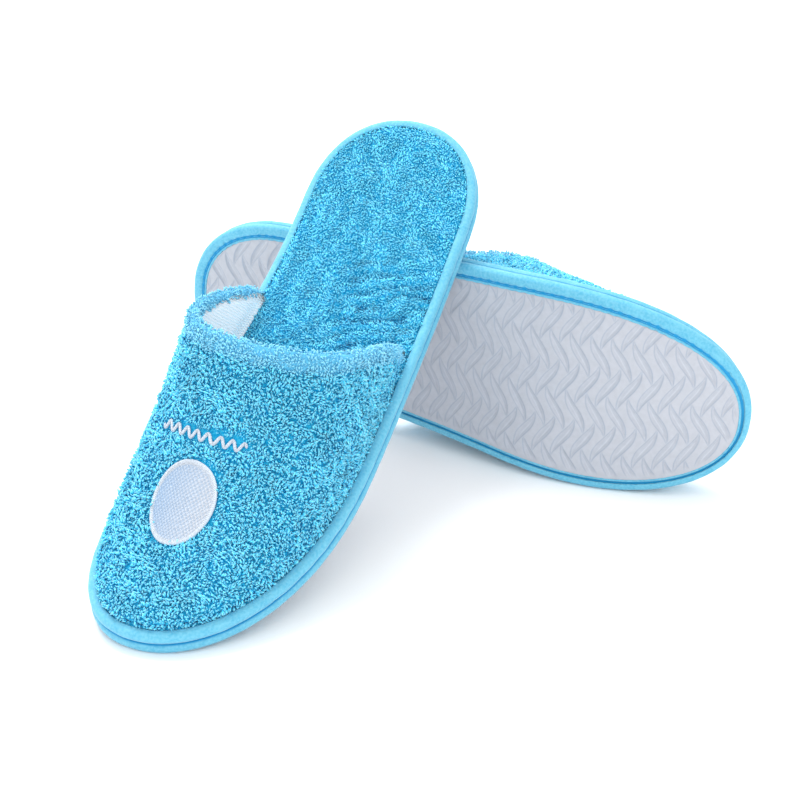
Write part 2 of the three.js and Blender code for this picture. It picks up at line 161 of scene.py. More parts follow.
# Side rails for a range of insets, each from its own heel to its own toe.
insetStep = 0.5
insetCount = 32
railLow = []
railHigh = []
railEnds = []
for index in range(insetCount):
    inset = index * insetStep
    movedX = loopX + inwardX * inset
    movedY = loopY + inwardY * inset
    highX = np.maximum.accumulate(movedX[:railSteps + 1])
    highY = movedY[:railSteps + 1]
    lowX = np.maximum.accumulate(np.concatenate([[movedX[0]], movedX[railSteps:][::-1]]))
    lowY = np.concatenate([[movedY[0]], movedY[railSteps:][::-1]])
    ends = (highX[0], highX[-1])
    spread = ends[0] + (ends[1] - ends[0]) * railShare
    railHigh.append(np.interp(spread, highX, highY))
    railLow.append(np.interp(spread, lowX, lowY))
    railEnds.append(ends)
railHigh, railLow, railEnds = np.array(railHigh), np.array(railLow), np.array(railEnds)


def railEnd(inset, which):
    return np.interp(inset, np.arange(insetCount) * insetStep, railEnds[:, which])


def railSides(x, inset):
    # The two side rails' y at x, for an inset at each point
    inset = np.broadcast_to(np.asarray(inset, float), x.shape)
    heel, toe = railEnd(inset, 0), railEnd(inset, 1)
    share = np.clip((x - heel) / (toe - heel), 0, 1)
    column = np.arccos(1 - 2 * share) / np.pi * railSteps
    row = np.clip(inset / insetStep, 0, insetCount - 1.001)
    c0 = np.minimum(column.astype(int), railSteps - 1)
    r0 = row.astype(int)
    cf, rf = column - c0, row - r0
    sides = []
    for table in (railLow, railHigh):
        near = table[r0, c0] * (1 - cf) + table[r0, c0 + 1] * cf
        far = table[r0 + 1, c0] * (1 - cf) + table[r0 + 1, c0 + 1] * cf
        sides.append(near * (1 - rf) + far * rf)
    return sides


def place(x, y, z, foot):
    # Curls flat points along two arcs and lays the slipper down; metres
    half, flat = sole["length"] / 2, sole["archFlat"] / 2
    along = x - half
    beyond = np.maximum(np.abs(along) - flat, 0)
    way = np.sign(along)
    curl = np.where(way < 0, math.radians(foot["heelCurl"]), math.radians(foot["toeCurl"]))
    bend = curl / (half - flat)
    turn = bend * beyond
    run = flat + np.sin(turn) / bend - np.sin(turn) * z
    curled = np.stack([
        np.where(beyond > 0, way * run, along),
        y * foot["side"],
        np.where(beyond > 0, (1 - np.cos(turn)) / bend + np.cos(turn) * z, z),
    ], axis=1)
    return (curled @ foot["matrix"].T + foot["origin"]) * mm


def smoothStep(value, low, high):
    share = np.clip((value - low) / (high - low), 0, 1)
    return share * share * (3 - 2 * share)


def crowded(share, ease):
    # A share from 0 to 1 with its steps drawn together towards both ends
    return ease * (1 - np.cos(np.pi * share)) / 2 + (1 - ease) * share


def ripple(a, b, wavelength, seed, count=10):
    # Smooth seeded unevenness between about -1 and 1
    chance = np.random.default_rng(seed)
    total = np.zeros_like(a)
    for _ in range(count):
        angle, phase = chance.uniform(0, 2 * np.pi, 2)
        rate = 2 * np.pi / (wavelength * chance.uniform(0.75, 1.4))
        total = total + np.sin((a * math.cos(angle) + b * math.sin(angle)) * rate + phase)
    return total / math.sqrt(count) / 1.4


mergeDistance = 0.00001  # metres


def gridPiece(name, columns, rows, shape, foot, material):
    # A grid put in place by shape(u, v), which gives flat points, UVs and attributes
    bm = bmesh.new()
    bmesh.ops.create_grid(bm, x_segments=columns, y_segments=rows, size=0.5)
    mesh = bpy.data.meshes.new(name)
    bm.to_mesh(mesh)
    bm.free()
    flat = np.zeros(len(mesh.vertices) * 3, np.float32)
    mesh.vertices.foreach_get("co", flat)
    u, v = (flat.reshape(-1, 3)[:, :2] + 0.5).astype(float).T
    made = shape(np.round(u * columns) / columns, np.round(v * rows) / rows)
    co = place(*made["points"], foot)
    mesh.vertices.foreach_set("co", co.astype(np.float32).ravel())
    corner = np.zeros(len(mesh.loops), np.int32)
    mesh.loops.foreach_get("vertex_index", corner)
    for layer, (across, up) in made["uvs"].items():
        uv = np.stack([across, up], axis=1) * mm
        mesh.uv_layers.new(name=layer).data.foreach_set("uv", uv[corner].astype(np.float32).ravel())
    for key, values in made.get("attributes", {}).items():
        mesh.attributes.new(key, "FLOAT", "POINT").data.foreach_set("value", values.astype(np.float32))
    bm = bmesh.new()
    bm.from_mesh(mesh)
    bmesh.ops.remove_doubles(bm, verts=bm.verts, dist=mergeDistance)
    bmesh.ops.dissolve_degenerate(bm, edges=bm.edges, dist=mergeDistance / 10)
    openEdges = [edge for edge in bm.edges if edge.is_boundary]
    if openEdges:
        filled = bmesh.ops.holes_fill(bm, edges=openEdges, sides=0)["faces"]
        bmesh.ops.triangulate(bm, faces=filled)
    bmesh.ops.recalc_face_normals(bm, faces=bm.faces)
    for face in bm.faces:
        face.smooth = True
    bm.to_mesh(mesh)
    bm.free()
    mesh.materials.append(material)
    piece = bpy.data.objects.new(name, mesh)
    bpy.context.scene.collection.objects.link(piece)
    return piece


def makeObject(name, bm, material):
    # A finished bmesh as a smooth object with its faces outward
    bmesh.ops.recalc_face_normals(bm, faces=bm.faces)
    for face in bm.faces:
        face.smooth = True
    mesh = bpy.data.meshes.new(name)
    bm.to_mesh(mesh)
    bm.free()
    mesh.materials.append(material)
    made = bpy.data.objects.new(name, mesh)
    bpy.context.scene.collection.objects.link(made)
    return made


def finishPiece(piece, foot, slot, *replaced):
    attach(piece, foot["name"] + "_slipper")
    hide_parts(*[foot["name"] + "_" + node for node in replaced])
    print("made", piece.name, len(piece.data.polygons), "faces")
    return piece


def applyModifiers(piece):
    bpy.context.view_layer.update()
    evaluated = piece.evaluated_get(bpy.context.evaluated_depsgraph_get())
    finished = bpy.data.meshes.new_from_object(evaluated)
    piece.modifiers.clear()
    piece.data = finished


def newGroup(name, inputs, outputs):
    group = bpy.data.node_groups.new(name, "ShaderNodeTree")
    for label, kind, value in inputs:
        socket = group.interface.new_socket(label, in_out="INPUT", socket_type=kind)
        if value is not None:
            socket.default_value = value
    for label, kind in outputs:
        group.interface.new_socket(label, in_out="OUTPUT", socket_type=kind)
    source = group.nodes.new("NodeGroupInput")
    result = group.nodes.new("NodeGroupOutput")
    return group, source, result


def addNode(tree, kind, settings=None, **values):
    node = tree.nodes.new(kind)
    for key, value in (settings or {}).items():
        setattr(node, key, value)
    for key, value in values.items():
        socket = node.inputs[int(key[1:])] if key[0] == "i" and key[1:].isdigit() else node.inputs[key]
        if isinstance(value, bpy.types.NodeSocket):
            tree.links.new(value, socket)
        else:
            socket.default_value = value
    return node


def mathNode(tree, operation, *values):
    inputs = {"i" + str(index): value for index, value in enumerate(values)}
    return addNode(tree, "ShaderNodeMath", {"operation": operation}, **inputs).outputs[0]


def remap(tree, value, low, high, newLow=0.0, newHigh=1.0):
    return addNode(tree, "ShaderNodeMapRange", i0=value, i1=low, i2=high, i3=newLow, i4=newHigh).outputs[0]


def noise(tree, vector, scale, detail):
    return addNode(tree, "ShaderNodeTexNoise", Vector=vector, Scale=scale, Detail=detail).outputs[0]


def attributeOf(tree, name):
    return addNode(tree, "ShaderNodeAttribute", {"attribute_name": name}).outputs["Fac"]


def mixColour(tree, factor, first, second, blend="MIX"):
    node = tree.nodes.new("ShaderNodeMix")
    node.data_type = "RGBA"
    node.blend_type = blend
    for index, value in ((0, factor), (6, first), (7, second)):
        if isinstance(value, bpy.types.NodeSocket):
            tree.links.new(value, node.inputs[index])
        else:
            node.inputs[index].default_value = value
    return node.outputs[2]


def colour(red, green, blue):
    # A screen colour, 0 to 255, as the linear colour the shaders take
    def linear(value):
        value = value / 255
        return value / 12.92 if value <= 0.04045 else ((value + 0.055) / 1.055) ** 2.4

    return (linear(red), linear(green), linear(blue), 1)


tread = {
    "inset": 5.2,  # tucked under the tape
    "lip": 7.2,  # where the tape's edge lies on it
    "tuck": 1.3,
    "period": 9.2,  # leaf to leaf along the sole
    "rowPitch": 13.6,  # row to row across it
    "leafLength": 21.6,
    "leafWidth": 4.8,
    "slant": 9.4,
    "depth": 0.7,
    "fade": 2.4,
    "taper": 1.5,
    "line": 0.27,  # half the width of the line round a leaf
    "wall": (-0.2, 1.3),  # from a leaf's edge inwards, where its hollow begins and reaches its depth
    "wear": 0.06,
    "wearLength": 26,
    "wornFrom": (7, 14),  # distances from the edge over which the wear sets in
    "columns": 470,
    "rows": 190,
    "hiddenRows": 8,
}


def makePileShade():
    # Colour along each lock of pile, from the gap at its root to its tip, with painted shade at the root
    # and a painted highlight at the tip
    group, source, result = newGroup("pileShade", [
        ("Root", "NodeSocketColor", None),
        ("Body", "NodeSocketColor", None),
        ("Tip", "NodeSocketColor", None),
        ("Hem", "NodeSocketColor", None),
        ("Patch Size", "NodeSocketFloat", 60.0),
    ], [("Color", "NodeSocketColor"), ("Height", "NodeSocketFloat")])
    tip = attributeOf(group, "tip")
    tone = attributeOf(group, "tone")
    hem = attributeOf(group, "hem")
    coordinates = addNode(group, "ShaderNodeTexCoord").outputs["Object"]
    # Lighter streaks break up the painted shade on the cloth between the locks
    streaks = noise(group, coordinates, 1100.0, 2.0)
    streak = remap(group, streaks, 0.44, 0.6, 0.0, 0.75)
    rise = remap(group, tip, 0.0, 0.55)
    lower = mathNode(group, "MAXIMUM", rise, streak)
    upper = remap(group, tip, 0.5, 1.0)
    shade = mixColour(group, lower, source.outputs["Root"], source.outputs["Body"])
    shade = mixColour(group, upper, shade, source.outputs["Tip"])
    bright = remap(group, tone, 0.0, 1.0, 0.86, 1.16)
    patches = noise(group, coordinates, source.outputs["Patch Size"], 3.0)
    patch = remap(group, patches, 0.3, 0.7, 0.93, 1.06)
    light = mathNode(group, "MULTIPLY", bright, patch)
    grey = addNode(group, "ShaderNodeCombineColor", i0=light, i1=light, i2=light).outputs[0]
    shade = mixColour(group, 1.0, shade, grey, "MULTIPLY")
    # Painted shade in the insole's creases darkens the pile there
    crease = attributeOf(group, "crease")
    paintedShade = mixColour(group, 1.0, shade, (0.12, 0.48, 0.64, 1), "MULTIPLY")
    shade = mixColour(group, crease, shade, paintedShade)
    # The hem's colour is a painted highlight on the rolled hem
    highlightByTip = remap(group, tip, 0.0, 1.0, 0.45, 0.95)
    hemHighlightShare = mathNode(group, "MULTIPLY", hem, highlightByTip)
    shade = mixColour(group, hemHighlightShare, shade, source.outputs["Hem"])
    group.links.new(shade, result.inputs["Color"])
    fine = noise(group, coordinates, 2600.0, 2.0)
    group.links.new(fine, result.inputs["Height"])
    return group


def makeWeave():
    # Over-and-under threads on a UV map in metres
    group, source, result = newGroup("weave", [
        ("Vector", "NodeSocketVector", None),
        ("Along", "NodeSocketFloat", 2.0),
        ("Across", "NodeSocketFloat", 2.0),
        ("Unevenness", "NodeSocketFloat", 0.3),
    ], [("Height", "NodeSocketFloat"), ("Mask", "NodeSocketFloat")])
    parts = addNode(group, "ShaderNodeSeparateXYZ", Vector=source.outputs["Vector"])
    along = mathNode(group, "MULTIPLY", parts.outputs[0], source.outputs["Along"])
    across = mathNode(group, "MULTIPLY", parts.outputs[1], source.outputs["Across"])
    wobble = noise(group, source.outputs["Vector"], 900.0, 2.0)
    shift = mathNode(group, "MULTIPLY", wobble, source.outputs["Unevenness"])
    waves = []
    for value in (along, across):
        moved = mathNode(group, "ADD", value, shift)
        turns = mathNode(group, "MULTIPLY", moved, 2 * math.pi)
        waves.append(mathNode(group, "SINE", turns))
    product = mathNode(group, "MULTIPLY", waves[0], waves[1])
    mask = remap(group, product, -1.0, 1.0)
    total = mathNode(group, "MULTIPLY_ADD", wobble, 0.35, mask)
    group.links.new(total, result.inputs["Height"])
    group.links.new(mask, result.inputs["Mask"])
    return group


def makeLeafLines():
    # Thin lines round the tread's leaves, and one down the middle of each, from a UV map in metres: the
    # lines round them are painted shade at the hollows' walls, the middle one a painted highlight
    group, source, result = newGroup("leafLines", [("Vector", "NodeSocketVector", None)],
                                     [("Line", "NodeSocketFloat"), ("Rib", "NodeSocketFloat")])

    def calc(operation, *values):
        return mathNode(group, operation, *values)

    def band(value, low, high):
        return addNode(group, "ShaderNodeMapRange", {"interpolation_type": "SMOOTHSTEP"},
                       i0=value, i1=low, i2=high).outputs[0]

    parts = addNode(group, "ShaderNodeSeparateXYZ", Vector=source.outputs["Vector"])
    wander = noise(group, source.outputs["Vector"], 130.0, 1.0)
    x = calc("MULTIPLY_ADD", parts.outputs[0], 1 / mm, calc("MULTIPLY_ADD", wander, 0.8, -0.4))
    y = calc("MULTIPLY", parts.outputs[1], 1 / mm)
    lines = []
    ribs = []
    for parity in (0, 1):
        lean = 1 - 2 * parity
        rows = calc("MULTIPLY_ADD", y, 0.5 / tread["rowPitch"], 0.5 - 0.5 * parity)
        halfLeaves = 4 * tread["rowPitch"] / tread["leafLength"]
        fromRow = calc("MULTIPLY", calc("SUBTRACT", calc("FRACT", rows), 0.5), halfLeaves)
        up = calc("MINIMUM", calc("MAXIMUM", fromRow, -1.0), 1.0)
        axis = calc("MULTIPLY", calc("SINE", calc("MULTIPLY", up, math.pi / 2)), lean * tread["slant"] / 2)
        shifted = calc("MULTIPLY_ADD", calc("SUBTRACT", x, axis), 1 / tread["period"], 0.5 + 0.5 * parity)
        off = calc("MULTIPLY", calc("SUBTRACT", calc("FRACT", shifted), 0.5), tread["period"])
        inside = calc("SUBTRACT", 1.0, calc("ABSOLUTE", up))
        bow = calc("SINE", calc("MULTIPLY", inside, math.pi / 2))
        half = calc("MULTIPLY", calc("POWER", bow, tread["taper"]), tread["leafWidth"] / 2)
        fromEdge = calc("ABSOLUTE", calc("SUBTRACT", calc("ABSOLUTE", off), half))
        shown = band(inside, 0.02, 0.22)
        edge = calc("SUBTRACT", 1.0, band(fromEdge, 0.0, 2 * tread["line"]))
        lines.append(calc("MULTIPLY", edge, shown))
        middle = calc("ABSOLUTE", calc("SUBTRACT", off, 0.35 * lean))
        rib = calc("SUBTRACT", 1.0, band(middle, 0.0, 2 * tread["line"]))
        ribs.append(calc("MULTIPLY", rib, band(half, 1.0, 2.1)))
    group.links.new(calc("MAXIMUM", *lines), result.inputs["Line"])
    group.links.new(calc("MAXIMUM", *ribs), result.inputs["Rib"])
    return group


pileShade = makePileShade()
weave = makeWeave()
leafLines = makeLeafLines()


def newMaterial(name, roughness, **settings):
    material = bpy.data.materials.new(name)
    material.use_nodes = True
    tree = material.node_tree
    shader = tree.nodes["Principled BSDF"]
    shader.inputs["Roughness"].default_value = roughness
    for key, value in settings.items():
        shader.inputs[key.replace("_", " ")].default_value = value
    return material, tree, shader


def addGroup(tree, group, **values):
    node = tree.nodes.new("ShaderNodeGroup")
    node.node_tree = group
    for key, value in values.items():
        socket = node.inputs[key.replace("_", " ")]
        if isinstance(value, bpy.types.NodeSocket):
            tree.links.new(value, socket)
        else:
            socket.default_value = value
    return node


def addBump(tree, shader, height, strength, distance):
    bump = addNode(tree, "ShaderNodeBump", Strength=strength, Distance=distance * mm, Height=height)
    tree.links.new(bump.outputs["Normal"], shader.inputs["Normal"])


def uvOf(tree, name="UVMap"):
    return addNode(tree, "ShaderNodeUVMap", {"uv_map": name}).outputs["UV"]


# Root colours are painted shade in the gaps between locks, tip colours a painted highlight on the tips,
# and the hem colour a painted highlight on the rolled hem
pileColours = {
    "root": (6, 166, 220),
    "body": (64, 212, 250),
    "tip": (154, 232, 253),
    "hem": (150, 224, 250),
    "insoleRoot": (4, 164, 218),
    "insoleBody": (78, 213, 250),
    "insoleTip": (134, 230, 252),
}


def pileMaterial(name, root, body, tip, hem):
    material, tree, shader = newMaterial(name, 0.9, Sheen_Weight=0.35, Sheen_Roughness=0.5,
                                         Specular_IOR_Level=0.15)
    shader.inputs["Sheen Tint"].default_value = colour(214, 238, 250)
    shade = addGroup(tree, pileShade, Root=colour(*root), Body=colour(*body), Tip=colour(*tip),
                     Hem=colour(*hem), Patch_Size=70.0)
    tree.links.new(shade.outputs["Color"], shader.inputs["Base Color"])
    addBump(tree, shader, shade.outputs["Height"], 0.35, 0.2)
    return material


fleeceMaterial = pileMaterial("coralFleece", pileColours["root"], pileColours["body"], pileColours["tip"],
                              pileColours["hem"])
insoleMaterial = pileMaterial("insoleFleece", pileColours["insoleRoot"], pileColours["insoleBody"],
                              pileColours["insoleTip"], pileColours["insoleTip"])


def makeTapeMaterial():
    material, tree, shader = newMaterial("bindingTape", 0.62, Sheen_Weight=0.25, Sheen_Roughness=0.4,
                                         Specular_IOR_Level=0.3)
    uv = uvOf(tree)
    threads = addGroup(tree, weave, Vector=uv, Along=1500.0, Across=1900.0, Unevenness=0.25)
    # Painted shade in the stitched channel, the groove between the tapes and the upper tape's hidden
    # inside
    sunk = attributeOf(tree, "sunk")
    clouds = noise(tree, uv, 160.0, 3.0)
    cloud = remap(tree, clouds, 0.3, 0.7)
    face = mixColour(tree, cloud, colour(84, 174, 207), colour(104, 187, 213))
    flecks = noise(tree, uv, 820.0, 3.0)
    fleck = remap(tree, flecks, 0.38, 0.64, 0.0, 0.5)
    face = mixColour(tree, fleck, face, colour(132, 203, 225))
    shadowed = mixColour(tree, 1.0, face, (0.9, 0.93, 0.96, 1), "MULTIPLY")
    face = mixColour(tree, threads.outputs["Mask"], shadowed, face)
    face = mixColour(tree, sunk, face, colour(30, 148, 202))
    tree.links.new(face, shader.inputs["Base Color"])
    addBump(tree, shader, threads.outputs["Height"], 0.45, 0.12)
    return material


def makeTreadMaterial():
    material, tree, shader = newMaterial("treadSheet", 0.42, Specular_IOR_Level=0.45)
    coordinates = addNode(tree, "ShaderNodeTexCoord").outputs["Object"]
    relief = attributeOf(tree, "relief")
    specks = noise(tree, coordinates, 420.0, 5.0)
    grain = noise(tree, coordinates, 2400.0, 3.0)
    cloud = remap(tree, specks, 0.3, 0.7)
    face = mixColour(tree, cloud, colour(174, 178, 187), colour(181, 185, 194))
    leaves = attributeOf(tree, "leaves")
    drawn = addGroup(tree, leafLines, Vector=uvOf(tree))
    line = mathNode(tree, "MULTIPLY", drawn.outputs["Line"], leaves)
    rib = mathNode(tree, "MULTIPLY", drawn.outputs["Rib"], leaves)
    # Painted shade in the leaves' hollows and along their walls, and a painted highlight down their
    # middles
    hollowShade = mathNode(tree, "MULTIPLY", relief, 0.12)
    face = mixColour(tree, hollowShade, face, colour(140, 156, 178))
    wallShadeShare = mathNode(tree, "MULTIPLY", line, 0.44)
    face = mixColour(tree, wallShadeShare, face, colour(126, 143, 166))
    ribHighlightShare = mathNode(tree, "MULTIPLY", rib, 0.3)
    face = mixColour(tree, ribHighlightShare, face, colour(206, 210, 218))
    tree.links.new(face, shader.inputs["Base Color"])
    rough = remap(tree, specks, 0.3, 0.7, 0.36, 0.5)
    tree.links.new(rough, shader.inputs["Roughness"])
    addBump(tree, shader, grain, 0.12, 0.1)
    return material


def makeLiningMaterial():
    material, tree, shader = newMaterial("knitLining", 0.85, Sheen_Weight=0.3, Specular_IOR_Level=0.2)
    uv = uvOf(tree)
    knit = addGroup(tree, weave, Vector=uv, Along=520.0, Across=760.0, Unevenness=0.15)
    face = mixColour(tree, knit.outputs["Mask"], colour(222, 234, 242), colour(252, 254, 255))
    tree.links.new(face, shader.inputs["Base Color"])
    # Painted light: a little glow of its own brightens the lining where the fleece shades it
    tree.links.new(face, shader.inputs["Emission Color"])
    shader.inputs["Emission Strength"].default_value = 0.14
    addBump(tree, shader, knit.outputs["Height"], 0.8, 0.35)
    return material


def makeEmbroideryMaterial():
    # Dense rows of floss, laid round the rim and straight over the middle
    material, tree, shader = newMaterial("embroideryFloss", 0.45, Sheen_Weight=0.2, Specular_IOR_Level=0.5)
    rim = attributeOf(tree, "rim")
    field = addGroup(tree, weave, Vector=uvOf(tree), Along=430.0, Across=620.0, Unevenness=0.6)
    edge = addGroup(tree, weave, Vector=uvOf(tree, "Around"), Along=1300.0, Across=80.0, Unevenness=0.3)
    height = addNode(tree, "ShaderNodeMix", {"data_type": "FLOAT"}, i0=rim, i2=field.outputs["Height"],
                     i3=edge.outputs["Height"]).outputs[0]
    coordinates = uvOf(tree)
    parts = addNode(tree, "ShaderNodeSeparateXYZ", Vector=coordinates)
    # Painted shade across the oval: bluer and darker on one side, whiter on the other
    paintedShadeSweep = remap(tree, parts.outputs[1], -0.012, 0.012)
    face = mixColour(tree, paintedShadeSweep, colour(158, 180, 204), colour(198, 200, 206))
    shadowed = mixColour(tree, 1.0, face, (0.6, 0.74, 0.88, 1), "MULTIPLY")
    face = mixColour(tree, field.outputs["Mask"], shadowed, face)
    face = mixColour(tree, rim, face, colour(198, 208, 221))
    tree.links.new(face, shader.inputs["Base Color"])
    addBump(tree, shader, height, 0.9, 0.4)
    return material


def plainMaterial(name, low, high, roughness, size, relief):
    material, tree, shader = newMaterial(name, roughness)
    coordinates = addNode(tree, "ShaderNodeTexCoord").outputs["Object"]
    cells = noise(tree, coordinates, size, 4.0)
    share = remap(tree, cells, 0.3, 0.7)
    tree.links.new(mixColour(tree, share, colour(*low), colour(*high)), shader.inputs["Base Color"])
    addBump(tree, shader, cells, 0.4, relief)
    return material


tapeMaterial = makeTapeMaterial()
treadMaterial = makeTreadMaterial()
liningMaterial = makeLiningMaterial()
embroideryMaterial = makeEmbroideryMaterial()
threadMaterial = plainMaterial("tapeThread", (44, 156, 210), (84, 184, 226), 0.6, 1800.0, 0.1)
foamMaterial = plainMaterial("evaFoam", (214, 222, 226), (232, 238, 241), 0.85, 900.0, 0.2)
boardMaterial = plainMaterial("insoleBoard", (214, 208, 192), (230, 226, 214), 0.8, 500.0, 0.1)
print("materials ready")


def narrowing(share):
    # Where the tape's turned-in edge is narrower, from its share of the way round
    return smoothStep(share, *soleTape["narrowFrom"]) * (1 - smoothStep(share, *soleTape["narrowTo"]))


def leafRelief(x, y):
    # Rows of leaf-shaped hollows that lean one way and the other, 0 on the land to 1 in a hollow
    row = np.round(y / tread["rowPitch"])
    deepest = np.zeros_like(x)
    for step in (-1, 0, 1):
        here = row + step
        lean = np.where(np.mod(here, 2) == 0, 1.0, -1.0)
        up = (y - here * tread["rowPitch"]) / (tread["leafLength"] / 2)
        inside = np.clip(1 - np.abs(up), 0, 1)
        axis = lean * tread["slant"] / 2 * np.sin(np.clip(up, -1, 1) * np.pi / 2)
        shifted = (x - axis) / tread["period"] + np.where(np.mod(here, 2) == 0, 0.0, 0.5)
        off = (shifted - np.round(shifted)) * tread["period"]
        half = tread["leafWidth"] / 2 * np.sin(inside * np.pi / 2) ** tread["taper"]
        hollow = smoothStep(half - np.abs(off), *tread["wall"]) * smoothStep(inside, 0, 0.3)
        deepest = np.maximum(deepest, hollow)
    return deepest


def treadShape(u, v):
    # u runs along the sole; v runs across the face and back over the hidden side
    heel, toe = railEnd(tread["inset"], 0), railEnd(tread["inset"], 1)
    x = heel + (toe - heel) * crowded(u, 0.4)
    faceShare = 1 - tread["hiddenRows"] / tread["rows"]
    across = np.where(v < faceShare, v / faceShare, (1 - v) / (1 - faceShare))
    low, high = railSides(x, tread["inset"])
    y = low + (high - low) * across
    inside, share = edgeDistance(x, y)
    fade = smoothStep(inside, tread["lip"] - 0.6, tread["lip"] - 0.6 + tread["fade"])
    relief = leafRelief(x, y) * fade
    wear = tread["wear"] * ripple(x, y, tread["wearLength"], 5)
    z = levels["treadFace"] + relief * tread["depth"] + wear * smoothStep(inside, *tread["wornFrom"])
    lip = tread["lip"] - soleTape["narrow"] * narrowing(share)
    tucked = 1 - smoothStep(inside, lip - 0.35, lip + 0.25)
    z = z * (1 - tucked) + tread["tuck"] * tucked
    z = np.where((v < faceShare) | (v > 1 - 0.5 / tread["rows"]), z, levels["treadTop"])
    return {
        "points": (x, y, z),
        "uvs": {"UVMap": (x, y)},
        "attributes": {
            "relief": np.where(v < faceShare, relief, 0),
            "leaves": np.where(v < faceShare, fade, 0),
        },
    }


def makeTread(foot):
    piece = gridPiece(foot["name"] + "TreadSheet", tread["columns"], tread["rows"], treadShape, foot,
                      treadMaterial)
    return finishPiece(piece, foot, "tread", "tread_sheet")


soleTape = {
    # inset and height round the section, and how far a stitch moves each of the two
    "section": [
        (7.5, 0.45, -0.3, 0.0), (7.4, 0.12, -0.4, 0.0), (7.1, -0.02, -0.25, 0.0), (6.75, 0.0, 0.0, 0.05),
        (6.45, 0.2, 0.0, 0.2), (6.2, 0.62, 0.0, 0.12), (5.7, 0.8, 0.0, 0.05), (5.25, 0.66, -0.3, 0.05),
        (4.95, 0.25, -0.55, 0.25), (4.6, 0.03, -0.5, 0.3), (3.9, -0.03, -0.2, 0.18), (3.1, 0.0, 0.0, 0.05),
    ],
    "lapPoints": 10,
    "inside": [(5.0, 4.7), (5.1, 4.2), (5.0, 3.8), (2.6, 3.75), (1.3, 2.35), (2.6, 1.05), (4.9, 1.2),
               (6.6, 1.1)],
    "rollSteps": 12,
    "stitchLength": 4.5,
    "around": 760,
    "pucker": 0.06,
    "puckerLength": 9,
    "uneven": 0.7,  # how much the stitches' pull varies
    "unevenLength": 19,
    "narrow": 1.7,  # how much narrower the turned-in edge is round the toe and the big-toe side
    "narrowFrom": (0.4, 0.55),  # shares of the way round
    "narrowTo": (0.8, 0.95),
    "lapRange": (3.5, 4.9),  # insets over which that narrowing sets in
    "channel": (5, 7),  # the section's points in the stitched channel
    "grooveFrom": 9,  # the roll's first point in the groove between the tapes
    "grooveHeight": 3.9,
}
upperTape = {
    "inside": [(3.3, 9.93), (3.75, 9.8), (3.95, 9.4), (3.6, 9.05), (2.4, 8.85), (1.25, 7.55), (2.4, 6.25),
               (4.9, 6.1), (5.0, 5.25)],
    "rollSteps": 14,
    "crest": 3,  # the roll's point that stands out as a fine edge beside the groove
    "crestHeight": 0.28,
    "grooveRows": 3,  # the roll's points in the groove
    "hiddenInset": 4.5,
    "pucker": 0.1,
    "around": 420,
}


def rollPoints(radius, middle, steps):
    angles = -np.pi / 2 + np.pi * np.arange(steps + 1) / steps
    return [(radius - radius * math.cos(a), middle + radius * math.sin(a)) for a in angles]


def ringShape(section, pull, grooveShade, pucker, stitchLength, narrowed):
    # A closed ring round the sole; u runs round the outline and v round the section
    table = np.array(section + section[:1], float)
    steps = np.concatenate([[0], np.cumsum(np.hypot(np.diff(table[:, 0]), np.diff(table[:, 1])))])
    pulls = np.array(pull + pull[:1], float)
    rows = len(section)
    lapped = np.array([1.0 if k < soleTape["lapPoints"] and narrowed else 0.0 for k in range(rows + 1)])
    lapped[-1] = lapped[0]
    # Rows that get painted shade
    paintedShade = np.array(grooveShade + grooveShade[:1], float)

    def shape(u, v):
        index = np.round(v * rows).astype(int)
        distance = u * edgeLength
        beat = np.round(edgeLength / stitchLength)
        tight = 1 - np.abs(np.sin(np.pi * beat * u))
        # The unevenness is read round a circle, so that the ring's ends meet
        aroundX = edgeLength / (2 * np.pi) * np.cos(2 * np.pi * u)
        aroundY = edgeLength / (2 * np.pi) * np.sin(2 * np.pi * u)
        uneven = 1 + soleTape["uneven"] * ripple(aroundX, aroundY, soleTape["unevenLength"], 3)
        turnIn = narrowing(u) * smoothStep(table[index, 0], *soleTape["lapRange"])
        narrower = soleTape["narrow"] * turnIn * lapped[index]
        inset = table[index, 0] + pulls[index, 0] * tight * uneven - narrower
        height = table[index, 1] + pulls[index, 1] * tight * uneven
        bump = pucker * ripple(aroundX, aroundY + table[index, 1] * 1.5, soleTape["puckerLength"], 8)
        x, y = edgePoint(distance, np.maximum(inset + bump * (inset < 3), 0.0))
        return {
            "points": (x, y, height + bump * 0.5),
            "uvs": {"UVMap": (distance, steps[index])},
            "attributes": {"sunk": paintedShade[index]},
        }

    return shape, rows


